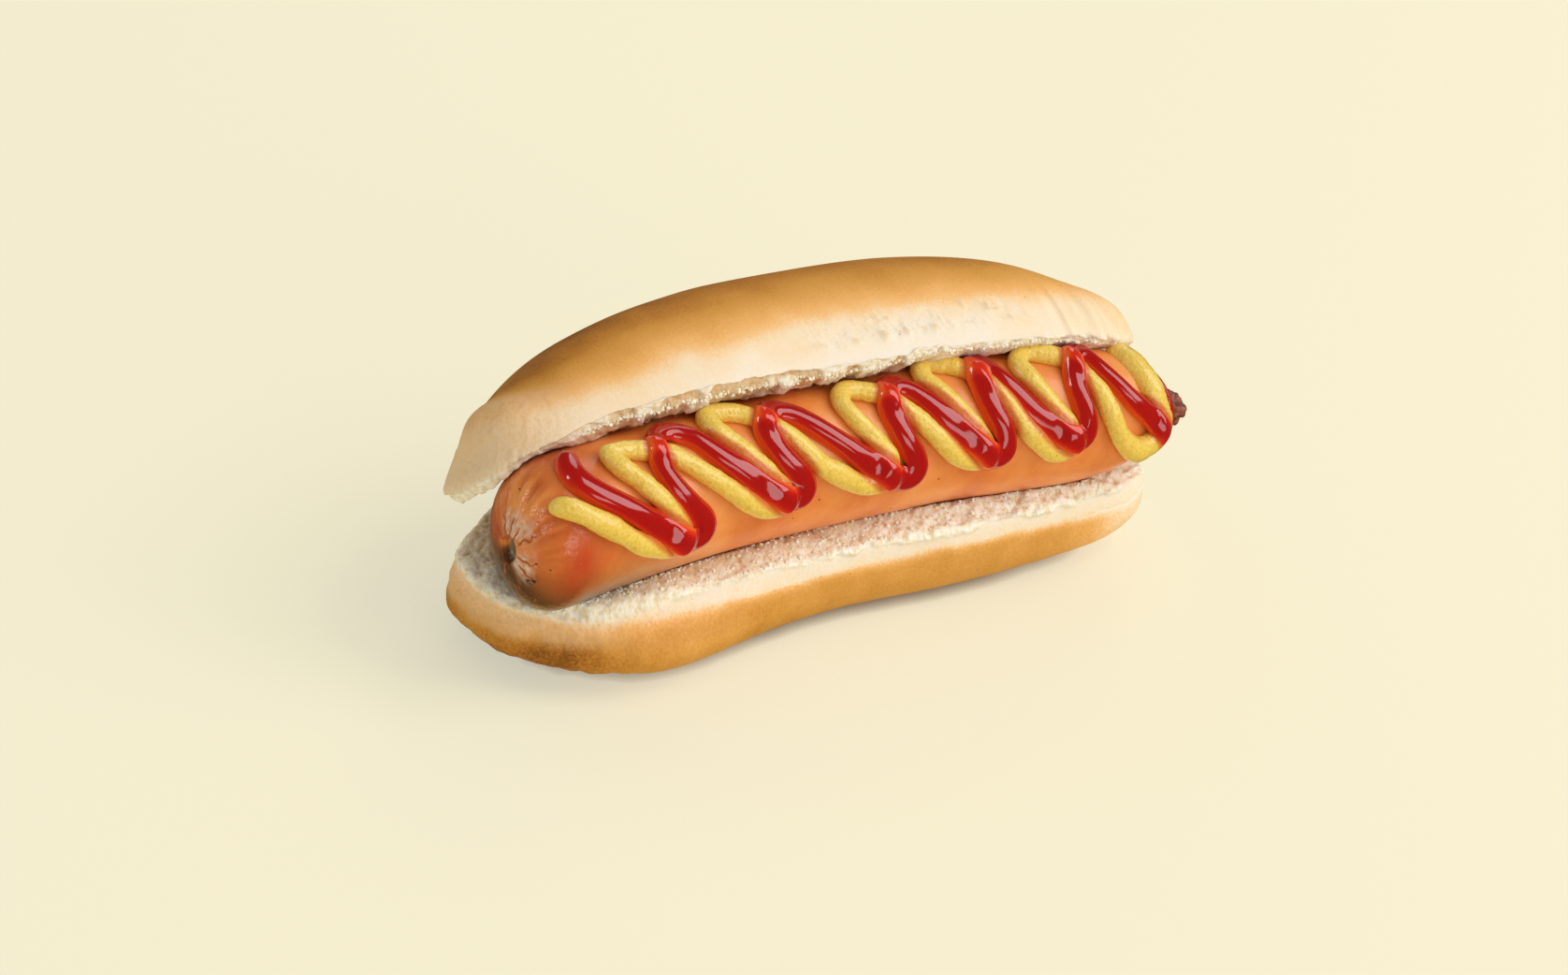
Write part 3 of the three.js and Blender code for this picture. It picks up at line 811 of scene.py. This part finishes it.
tuft_places = np.concatenate(
    [
        against_skin(base_points, CONTACT_TUFTS, seed=65),
        scattered(lid_points, LID_FACE_RINGS - 1, LID_FACE_RINGS + 5, LIP_TUFTS, seed=61),
        scattered(base_points, BASE_FACE_RINGS - 13, BASE_FACE_RINGS - 1, RIM_TUFTS, seed=62),
    ]
)
draw = np.random.default_rng(63)
tuft_count = len(tuft_places)
turns = np.linalg.qr(draw.normal(size=(tuft_count, 3, 3)))[0]
turns *= np.linalg.det(turns)[:, None, None]
radii = draw.uniform(*TUFT_RADIUS, (tuft_count, 1)) * draw.uniform(*TUFT_STRETCH, (tuft_count, 3))
latitude = np.linspace(0, math.pi, TUFT_RINGS)[:, None]
longitude = np.linspace(0, 2 * math.pi, TUFT_COLUMNS, endpoint=False)[None]
ball = np.stack(
    [
        np.sin(latitude) * np.cos(longitude),
        np.sin(latitude) * np.sin(longitude),
        np.cos(latitude) + 0 * longitude,
    ],
    -1,
)
knobs = np.einsum("nij,nrcj->nrci", turns, ball * radii[:, None, None])
points = tuft_places[:, None, None] + knobs
knobbly = 0.35 * noise(points, 0.7, seed=64, octaves=1)
points = clear_of_sausage(points + knobs * knobbly[..., None], gap=0.05)
tufts = closed_skin("crumb_tufts", points, {})

tuft_crumb, tree = new_material("crumb")
place = add(tree, "TexCoord").outputs["Object"]
to_millimetres = {0: place, 1: (1 / MM, 1 / MM, 1 / MM)}
place = add(tree, "VectorMath", to_millimetres, operation="MULTIPLY").outputs[0]
crumb = use_effect(tree, crumb_effect, {"Place": place, "Depth": 0.0})
finish_material(
    tree,
    {
        "Base Color": crumb["Color"],
        "Roughness": 0.87,
        "Subsurface Weight": 0.1,
        **BREAD_LIGHT,
        "Normal": bumps(tree, crumb["Height"], 0.0004, 0.5),
    },
)
tufts.data.materials.append(tuft_crumb)
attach(tufts, "root")
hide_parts("roll")

# ---- Sausage -----------------------------------------------------------------------------------
# A smoked frankfurter in its casing, moist and glossy. The casing gathers in pleats round a small
# hole at the left end, where it is scorched, and is tied off in a short dry nub at the right end.

SAUSAGE_COLUMNS = 320
LEFT_RINGS, BODY_RINGS, RIGHT_RINGS = 83, 98, 55
DIMPLE_RINGS, NUB_RINGS = 18, 30
INSIDE_DIMPLE, INSIDE_NUB = 7, 4  # rings left out at the two ends, where these take over
# Profiles of the two ends, as X from the end of the skin and the distance from the axis.
DIMPLE = [(2.9, 0), (2.8, 0.5), (2.4, 0.9), (2.0, 1.3), (1.5, 1.7), (1.2, 2.4), (0.3, 2.8)]
DIMPLE_RIM = 3.2  # length along the profile from the bottom of the dimple to its rim
NUB = [
    (0, 2.1), (0.4, 2.3), (0.8, 2.8), (1.2, 3.1), (2.2, 3.15), (3.2, 3.1), (3.7, 2.8), (3.9, 1.4),
    (3.8, 0),
]


def on_sausage(x, angle, distance):
    """Points at X, an angle up round the sausage from its front, and a distance from its axis."""
    y = sausage_axis(x) - distance * np.cos(angle)
    return np.stack(np.broadcast_arrays(x, y, SAUSAGE_HEIGHT + distance * np.sin(angle)), -1)


def length_along(line):
    """Length along a line of points X, Y from its start to each of its points."""
    return np.insert(np.cumsum(np.hypot(*np.diff(line, axis=0).T)), 0, 0)


def evenly(line, count):
    """A number of points at even steps along a line of points X, Y."""
    length = length_along(line)
    wanted = np.linspace(0, length[-1], count)
    return np.stack([np.interp(wanted, length, line[:, 0]), np.interp(wanted, length, line[:, 1])], -1)


# The rings of the skin lie closer together towards the ends.
left_cap = 0.08 + LEFT_CAP * np.linspace(0, 1, LEFT_RINGS)[INSIDE_DIMPLE:] ** 2 - SAUSAGE_LEFT
right_cap = SAUSAGE_RIGHT - 0.15 - RIGHT_CAP * np.linspace(1, 0, RIGHT_RINGS)[:-INSIDE_NUB] ** 2.2
body = np.linspace(left_cap[-1], right_cap[0], BODY_RINGS + 2)[1:-1]
skin_x = np.concatenate([left_cap, body, right_cap])
profile = np.concatenate(
    [
        evenly(np.array(DIMPLE), DIMPLE_RINGS) - (SAUSAGE_LEFT, 0),
        np.stack([skin_x, sausage_radius(skin_x)], -1),
        evenly(np.array(NUB), NUB_RINGS) + (SAUSAGE_RIGHT, 0),
    ]
)
angle = np.linspace(0, 2 * math.pi, SAUSAGE_COLUMNS, endpoint=False)[None]
x, radius = profile[:, :1], profile[:, 1:]
from_hole = length_along(profile)[:, None] - DIMPLE_RIM + 0 * angle
round_place = np.stack(np.broadcast_arrays(np.cos(angle), np.sin(angle), from_hole), -1)


def turn_from(degrees):
    """Angle round the sausage from a place up its front, the shorter way: over -pi, up to pi."""
    return (angle - math.radians(degrees) + math.pi) % (2 * math.pi) - math.pi


def lobe(middle, half, near, far):
    """1 within an angle of a middle one, and between two distances from the hole, 0 elsewhere."""
    turn = abs(turn_from(middle))
    ragged_far = from_hole + 1.2 * noise(round_place * (1.5, 1.5, 0.5), 1, seed=24)
    beside = smooth_fall(turn, math.radians(0.4 * half), math.radians(1.4 * half))
    beyond = smoothstep(ragged_far, far - 2.4, far + 2)
    return beside * smoothstep(from_hole, near - 0.6, near + 0.6) * (1 - beyond)


pleats = ridges(round_place * (7, 7, 0.09), 1, seed=21, octaves=2)
pleat_depth = (0.1 + 0.28 * lobe(80, 70, 0, 12)) * stretch(from_hole, (0, 2.5), (6, 14))
gathers = noise(round_place * (4, 4, 0.6), 1, seed=25, octaves=2)
gather_depth = 0.3 * stretch(from_hole, (-1, 1), (4, 7))
hole_width = 1 - 0.3 * abs(np.cos(angle)) * smooth_fall(from_hole, 0, 2)
swell = 0.25 * noise(on_sausage(x, angle, radius), 26, seed=22, octaves=2)
swell = swell * smoothstep(radius, 2, 9)
swell += bell(x, 61, 6) * smoothstep(np.sin(angle), 0.5, 0.95)
on_nub = smoothstep(x, SAUSAGE_RIGHT, SAUSAGE_RIGHT + 0.8)
square = 0.09 * np.cos(4 * angle - 0.6)
wrinkled = square + 0.16 * noise(round_place * (2.2, 2.2, 0.8), 1, seed=23)
radius = radius * hole_width * (1 + on_nub * wrinkled)
points = on_sausage(x, angle, radius + pleat_depth * pleats + gather_depth * gathers + swell)

# Creases run out from the hole, browned, and charred where they end: each is its angle in degrees,
# where it starts and ends, and how far it is charred back from its end.
CREASES = [
    (44, 1.5, 6.5, 0.7), (4, 0.8, 6.5, 1.5), (-21, 2, 6.6, 2.5), (-58, 1.5, 6, 2), (-96, 0.6, 4, 2),
    (-135, 0.5, 3.5, 2), (72, 0.5, 3.5, 0), (101, 0.6, 4, 0), (128, 0.5, 5, 1), (160, 0.6, 4, 2),
]
CREASE_WIDTH = 0.26
wiggle = 0.45 * noise(round_place * (1.1, 1.1, 0.9), 1, seed=26, octaves=3)
scorched, charred = np.zeros_like(from_hole), np.zeros_like(from_hole)
for degrees, start, end, char_length in CREASES:
    across = turn_from(degrees) * radius + wiggle * smoothstep(from_hole, 0, 3)
    line = bell(abs(across) / (0.7 + 0.5 * gathers), 0, CREASE_WIDTH)
    span = stretch(from_hole, (start - 0.4, start + 0.6), (end - 0.6, end + 0.4))
    scorched = np.maximum(scorched, span * line)
    char_span = span * smoothstep(from_hole, end - char_length - 0.3, end - char_length + 0.5)
    charred = np.maximum(charred, (char_length > 0) * char_span * line)
branches = smoothstep(noise(round_place * (7, 7, 1.6), 1, seed=28), 0.15, 0.5)
charred = charred * branches + lobe(-25, 16, 4.4, 6.2) * smoothstep(branches, 0.6, 0.9)
whitish = np.maximum(lobe(90, 50, 0.3, 5.6), lobe(-14, 38, 0.3, 4.8))
whitish = whitish * np.clip(0.75 + 0.25 * gathers + 0.2 * pleats, 0, 0.9) * (1 - scorched)
reddened = 0.6 + 0.5 * noise(round_place * (1.2, 1.2, 0.13), 1, seed=29, octaves=2)
reddened += 0.4 * (0.3 - pleats) * lobe(80, 70, 2, 13)
reddened = np.clip(reddened, 0, 1) * stretch(from_hole, (0, 3), (14, 36))
patch_gap = np.hypot(turn_from(4) * 11, (from_hole - 15) * 1.2)
red_patch = bell(patch_gap, 0, 5) * (0.8 + 0.5 * noise(round_place * (2, 2, 0.3), 1, seed=30))
shaded = smooth_fall(np.sin(angle), -0.8, 0.2) * smooth_fall(from_hole, 18, 54)
marks = {
    "whitish": whitish,
    "scorched": np.maximum(scorched, lobe(100, 70, -0.3, 0.7)),
    "charred": charred,
    "reddened": reddened,
    "red_patch": red_patch,
    "shaded": shaded,
    "gathered": smooth_fall(from_hole, 9, 20),
    "inside_hole": smooth_fall(from_hole, -1.0, -0.2),
    "membrane": lobe(-5, 60, -2.2, 0.4),
    "near_nub": smoothstep(x + 0 * angle, 66, 71),
    "on_nub": on_nub + 0 * angle,
}
sausage = closed_skin("sausage_skin", points, marks)

casing, tree = new_material("sausage_skin")
place = add(tree, "TexCoord").outputs["Object"]
mark = {name: point_value(tree, name) for name in marks}
skin_color = color_ramp(
    tree,
    grain(tree, place, 0.014, detail=5, roughness=0.6),
    [(0.32, color(246, 160, 84)), (0.5, color(240, 142, 64)), (0.68, color(226, 118, 46))],
)
folded_color = color_ramp(
    tree,
    grain(tree, place, 0.0012, detail=3),
    [(0.35, color(212, 156, 112)), (0.5, color(232, 194, 164)), (0.7, color(246, 226, 208))],
)
nub_color = color_ramp(
    tree,
    grain(tree, place, 0.0016, detail=2),
    [(0.35, color(98, 42, 22)), (0.5, color(142, 72, 42)), (0.68, color(168, 96, 60))],
)
tints = {  # each laid over the ones before it
    "reddened": color(196, 88, 30),
    "red_patch": color(196, 58, 18),
    "shaded": color(100, 60, 12),
    "whitish": folded_color,
    "scorched": color(168, 76, 26),
    "charred": color(58, 26, 14),
    "inside_hole": color(158, 134, 98),
    "membrane": color(232, 190, 168),
    "near_nub": color(150, 40, 20),
    "on_nub": nub_color,
}
for name, tint in tints.items():
    skin_color = mix_colors(tree, mark[name], skin_color, tint)
dark_flecks = flecks(tree, place, 0.004, spot=0.065, rarity=0.7)
skin_color = mix_colors(tree, dark_flecks, skin_color, color(84, 38, 18))
bright_flecks = flecks(tree, place, 0.0016, spot=0.1, rarity=0.75)
bright_flecks = math_node(tree, "MULTIPLY", bright_flecks, 0.45)
skin_color = mix_colors(tree, bright_flecks, skin_color, color(245, 196, 120))
pimples = grain(tree, place, 0.0009, detail=2)
pimples = math_node(tree, "MULTIPLY_ADD", bright_flecks, 1.5, pimples)
crinkles = grain(tree, place, 0.0014, detail=3, roughness=0.6)
crinkles = math_node(tree, "MULTIPLY", crinkles, mark["gathered"])
pimples = math_node(tree, "MULTIPLY_ADD", crinkles, 3.0, pimples)
roughness = math_node(tree, "MULTIPLY_ADD", mark["gathered"], -0.18, 0.33)
finish_material(
    tree,
    {
        "Base Color": skin_color,
        "Roughness": math_node(tree, "MULTIPLY_ADD", mark["on_nub"], 0.2, roughness),
        "Specular IOR Level": 0.6,
        "Coat Weight": 0.2,
        "Coat Roughness": 0.35,
        "Subsurface Weight": 0.25,
        "Subsurface Radius": (1, 0.35, 0.15),
        "Subsurface Scale": 0.002,
        "Normal": bumps(tree, pimples, 0.00015, 0.6),
    },
)
sausage.data.materials.append(casing)
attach(sausage, "root")
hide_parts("sausage")

# ---- Mustard -----------------------------------------------------------------------------------
# One strand squeezed from a bottle, zigzagging over the sausage. It keeps a round section, and its
# paste is slightly grainy.

# Each stop is X and degrees up round the sausage.
MUSTARD_STOPS = [
    (-71, 62), (-64.5, 41), (-53.5, 9), (-47, -4), (-43, 6), (-47.5, 31), (-54.8, 68), (-56, 84),
    (-50.5, 79), (-43.5, 65), (-35, 34), (-27, 9), (-22, 4), (-20, 13), (-27.5, 47), (-32.5, 74),
    (-31.5, 92), (-25, 83), (-18, 55), (-12.5, 28), (-3, 5), (2.5, 5), (3.5, 20), (-2.3, 52),
    (-4.2, 71), (-1.5, 83), (5, 71), (11, 44), (18, 13), (23, 5), (25, 16), (19, 52), (15.4, 79),
    (18.5, 97), (25, 85), (29, 58), (33, 28), (39, 4), (43, 6), (43, 22), (38, 53), (36.3, 79),
    (40, 94), (47, 82), (50.5, 52), (54, 12), (59, -8), (64, -6), (66.3, 14), (64.3, 44), (62.8, 77),
    (62, 112),
]
MUSTARD_EASING = 4
MUSTARD_HALF_WIDTH, MUSTARD_HALF_HEIGHT, MUSTARD_LIFT = 1.95, 1.75, 1.0
MUSTARD_COLUMNS = 36
MUSTARD_TAPER = 3.4
STRAND_STEP = 0.3


def piped_path(stops, easing):
    """
    Line of a strand on the unrolled skin, as points X, length round the sausage, evenly spaced:
    straight from stop to stop, then smoothed by a mean over a length with weights of a raised cosine.
    """
    flat = np.array([(x, math.radians(degrees) * SAUSAGE_RADIUS) for x, degrees in stops])
    line = evenly(flat, int(length_along(flat)[-1] / STRAND_STEP))
    half = int(easing / STRAND_STEP)
    weights = np.hanning(2 * half + 1)
    padded = np.pad(line, ((half, half), (0, 0)), mode="reflect", reflect_type="odd")
    smooth = [np.convolve(values, weights / weights.sum(), "valid") for values in padded.T]
    return np.stack(smooth, -1)


def on_skin(x, along_skin, height):
    """Points at X and a length round the sausage, a height over its skin."""
    return on_sausage(x, along_skin / SAUSAGE_RADIUS, sausage_radius(x) + height)


def rounded_ends(count, taper):
    """Scale of a strand's section at each of its points: a quarter circle up from 0 at each end."""
    from_end = np.minimum(np.arange(count), np.arange(count)[::-1]) * STRAND_STEP
    return np.sqrt(1 - (1 - np.minimum(from_end / taper, 1)) ** 2)


mustard_path = piped_path(MUSTARD_STOPS, MUSTARD_EASING)
line_x, line_s = mustard_path.T
centre = on_skin(line_x, line_s, MUSTARD_LIFT)
outward = on_skin(line_x, line_s, MUSTARD_LIFT + 1) - centre
along = np.gradient(centre, axis=0)
across = np.cross(along, outward)
across /= np.linalg.norm(across, axis=-1, keepdims=True)
outward = np.cross(across, along)
outward /= np.linalg.norm(outward, axis=-1, keepdims=True)
section = np.linspace(0, 2 * math.pi, MUSTARD_COLUMNS, endpoint=False)[None, :, None]
thicker = 1 + 0.2 * smoothstep(line_x, 54, 60)
to_end = np.arange(len(centre))[::-1] + 1  # in steps along the strand
thicker += 0.25 * smooth_fall(to_end, 25, 70)
scale = rounded_ends(len(centre), MUSTARD_TAPER) * thicker
pulse = 1 + 0.09 * noise(np.stack([line_x, line_s, 0 * line_x], -1), 5, seed=31)
scale = (scale * pulse)[:, None, None]
points = centre[:, None] + scale * (
    MUSTARD_HALF_WIDTH * np.cos(section) * across[:, None]
    + MUSTARD_HALF_HEIGHT * np.sin(section) * outward[:, None]
)
grainy = 0.07 * noise(points, 0.7, seed=32, octaves=2) + 0.12 * noise(points, 3, seed=33, octaves=1)
points += grid_normals(points) * (grainy * np.minimum(scale[..., 0], 1))[..., None]
mustard = closed_skin("mustard_strand", points, {})

mustard_paste, tree = new_material("mustard")
place = add(tree, "TexCoord").outputs["Object"]
stained_here = point_value(tree, "stained")
paste_grain = grain(tree, place, 0.0006, detail=3)
paste_color = color_ramp(
    tree,
    paste_grain,
    [(0.3, color(232, 190, 66)), (0.5, color(241, 204, 84)), (0.75, color(248, 216, 110))],
)
seeds = flecks(tree, place, 0.0028, spot=0.06, rarity=0.6)
paste_color = mix_colors(tree, seeds, paste_color, color(150, 112, 44))
paste_color = mix_colors(tree, stained_here, paste_color, color(216, 92, 24))
finish_material(
    tree,
    {
        "Base Color": paste_color,
        "Roughness": 0.3,
        "Subsurface Weight": 0.3,
        "Subsurface Radius": (1, 0.6, 0.15),
        "Subsurface Scale": 0.001,
        "Coat Weight": 0.6,
        "Coat Roughness": 0.14,
        "Normal": bumps(tree, paste_grain, 0.0004, 0.6),
    },
)
mustard.data.materials.append(mustard_paste)
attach(mustard, "root")
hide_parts("sausage")

# ---- Ketchup -----------------------------------------------------------------------------------
# A second strand, poured over the first. It is wetter, so it settles on the skin, lies over the
# mustard where they cross, and runs together in its tight lower turns. Its thin edges glow red.

KETCHUP_STOPS = [
    (-62.5, 98), (-65, 75), (-61.4, 55), (-55.8, 38), (-49, 16), (-43.5, 0), (-39, -2), (-38, 8), (-42, 25),
    (-45.5, 46), (-47, 72), (-42.5, 89), (-37.5, 76), (-33.5, 53), (-26, 24), (-20.5, 9), (-16, 6),
    (-15, 15), (-20, 39), (-23, 64), (-19.5, 81), (-15, 72), (-8.5, 46), (-2.5, 25), (4, 5), (8.5, 1),
    (10, 11), (7.3, 31), (4.8, 60), (7.5, 82), (11.5, 72), (17.5, 38), (23, 16), (26, 7), (29, 8),
    (29.3, 21), (26.5, 49), (26.2, 78), (29, 92), (31.5, 68), (35.5, 37), (40.5, 19), (44, 12),
    (46.8, 15), (47, 28), (46, 54), (48.3, 84), (52, 95), (53.5, 69), (58, 42), (63, 24), (69, -18),
    (71, -20), (70.8, 20), (69.5, 60), (68, 90),
]
KETCHUP_EASING = 4.5
KETCHUP_HALF_WIDTH, KETCHUP_THICKNESS = 2.45, 2.4
TOP_COLUMNS, FOOT_COLUMNS = 33, 7
FOOT_HEIGHT = -0.3
INNER_SHARE = 0.9  # of a turn's radius, the most that the strand's inner edge takes up
MUSTARD_SPREAD, KETCHUP_SPREAD = 2.0, 1.8  # of the bell curves that tell where each sauce lies
LIFT_OVER_MUSTARD = 2.1

ketchup_path = piped_path(KETCHUP_STOPS, KETCHUP_EASING)
line_x, line_s = ketchup_path.T
along = np.gradient(ketchup_path, axis=0)
bend = np.gradient(np.unwrap(np.arctan2(along[:, 1], along[:, 0])))
bend = (bend / np.hypot(*along.T))[:, None]
along /= np.linalg.norm(along, axis=-1, keepdims=True)
leftward = np.stack([-along[:, 1], along[:, 0]], -1)
over = np.sin(np.linspace(-math.pi / 2, math.pi / 2, TOP_COLUMNS))
under = np.linspace(1, -1, FOOT_COLUMNS + 2)[1:-1]
width_share = np.concatenate([over, under])[None]
is_over = np.concatenate([np.ones(TOP_COLUMNS), np.zeros(FOOT_COLUMNS)])[None]
scale = rounded_ends(len(line_x), KETCHUP_HALF_WIDTH)
pulse = 1 + 0.06 * noise(np.stack([line_x, line_s, 0 * line_x], -1), 9, seed=41, octaves=1)
narrower = 1 - 0.15 * smoothstep(line_s / SAUSAGE_RADIUS, 0.15, 1.3) * smoothstep(line_x, -62, -55)
half_width = KETCHUP_HALF_WIDTH * scale * pulse * narrower * (1 - 0.35 * smoothstep(line_x, 67, 70))
offset = width_share * half_width[:, None]
innermost = INNER_SHARE / np.where(abs(bend) > 1e-3, bend, 1e-3)
offset = np.where(offset * bend > INNER_SHARE, innermost, offset)
flat = ketchup_path[:, None] + offset[..., None] * leftward[:, None]


def nearest_on(path, places):
    """Distance from each place to the nearest point of a path, and that point's number."""
    gaps = np.stack([np.hypot(*(places - point).T).T for point in path])
    return gaps.min(0), gaps.argmin(0)


def nearness(path, places, width):
    """
    Sum over a path of a bell curve, of a width, of the distance to each of its points: 1 on a
    straight run, and more between two runs that lie side by side.
    """
    spacing = length_along(path)[-1] / (len(path) - 1)
    total = np.zeros(places.shape[:-1])
    for point in path:
        total += np.exp(-(((places - point) / width) ** 2).sum(-1))
    return total * spacing / (width * math.sqrt(math.pi))


def over_mustard(places):
    """How far places lie over the mustard, from 0 beside it to 1 on it."""
    return smoothstep(nearness(mustard_path[::3], places, MUSTARD_SPREAD), 0.06, 0.85)


# The strand is lifted over the mustard as a whole, with some of the mustard's own shape.
mustard_below = over_mustard(ketchup_path)
mustard_below = np.convolve(mustard_below, np.hanning(17) / 8, "same")[:, None]
mustard_here = over_mustard(flat)
ketchup_here = nearness(ketchup_path[::3], flat, KETCHUP_SPREAD)
follows_place = 0.4 + 0.6 * smoothstep(ketchup_here, 1.05, 1.5)
lift = LIFT_OVER_MUSTARD * (mustard_below + follows_place * (mustard_here - mustard_below))

# Its top is a dome across its width, and two runs side by side share one dome.
to_ketchup, nearest = nearest_on(ketchup_path[::2], flat)
to_ketchup = np.minimum(to_ketchup, abs(offset))
merged = KETCHUP_SPREAD * np.sqrt(-np.log(np.clip(ketchup_here, 1e-3, 1)))
inward = np.minimum(to_ketchup, merged) / np.maximum(half_width[::2][nearest], 0.1)
inward = np.clip(inward, 0, 1)
dome = np.sqrt(1 - inward**2.3) * KETCHUP_THICKNESS * np.sqrt(scale)[:, None]
overlap = smoothstep(abs(offset) - to_ketchup, 0, 0.8)
height = np.where(is_over, lift + dome * (1 - 0.12 * lift) - 0.06 * overlap, FOOT_HEIGHT)

# Where the sausage narrows, the same width takes a wider angle.
narrowing = SAUSAGE_RADIUS / np.maximum(sausage_radius(line_x), 4)[:, None]
flat[..., 1] = line_s[:, None] + (flat[..., 1] - line_s[:, None]) * narrowing
points = on_skin(flat[..., 0], flat[..., 1], height)
high_up = smoothstep(line_s / SAUSAGE_RADIUS, 0.5, 1.1)[:, None]
thin = inward**4 + 0.5 * smoothstep(lift, 1.0, 2.1) * high_up * is_over
thin += 0.8 * inward**2 * mustard_here * is_over
ketchup = closed_skin("ketchup_strand", points, {"thin": thin}, is_flipped=True)

# The mustard is stained where the ketchup runs beside it.
x, y, z = (np.array([vertex.co for vertex in mustard.data.vertices]) / MM - SHIFT).T
mustard_angle = np.arctan2(z - SAUSAGE_HEIGHT, sausage_axis(x) - y)
mustard_flat = np.stack([x, mustard_angle * SAUSAGE_RADIUS], -1)
beside, nearest = nearest_on(ketchup_path[::2], mustard_flat)
beside = beside - half_width[::2][nearest]
stained = 0.85 * smooth_fall(beside, 0.1, 1.0)
layer = mustard.data.attributes.new("stained", "FLOAT", "POINT")
layer.data.foreach_set("value", stained.astype(np.float32))

ketchup_sauce, tree = new_material("ketchup")
place = add(tree, "TexCoord").outputs["Object"]
sauce_color = color_ramp(
    tree,
    point_value(tree, "thin"),
    [
        (0.0, color(172, 14, 6)),
        (0.3, color(196, 24, 10)),
        (0.75, color(226, 60, 20)),
        (1.0, color(236, 98, 34)),
    ],
)
finish_material(
    tree,
    {
        "Base Color": sauce_color,
        "Roughness": 0.1,
        "Specular IOR Level": 0.75,
        "Subsurface Weight": 0.3,
        "Subsurface Radius": (1, 0.12, 0.05),
        "Subsurface Scale": 0.0012,
    },
)
ketchup.data.materials.append(ketchup_sauce)
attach(ketchup, "root")
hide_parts("sausage")
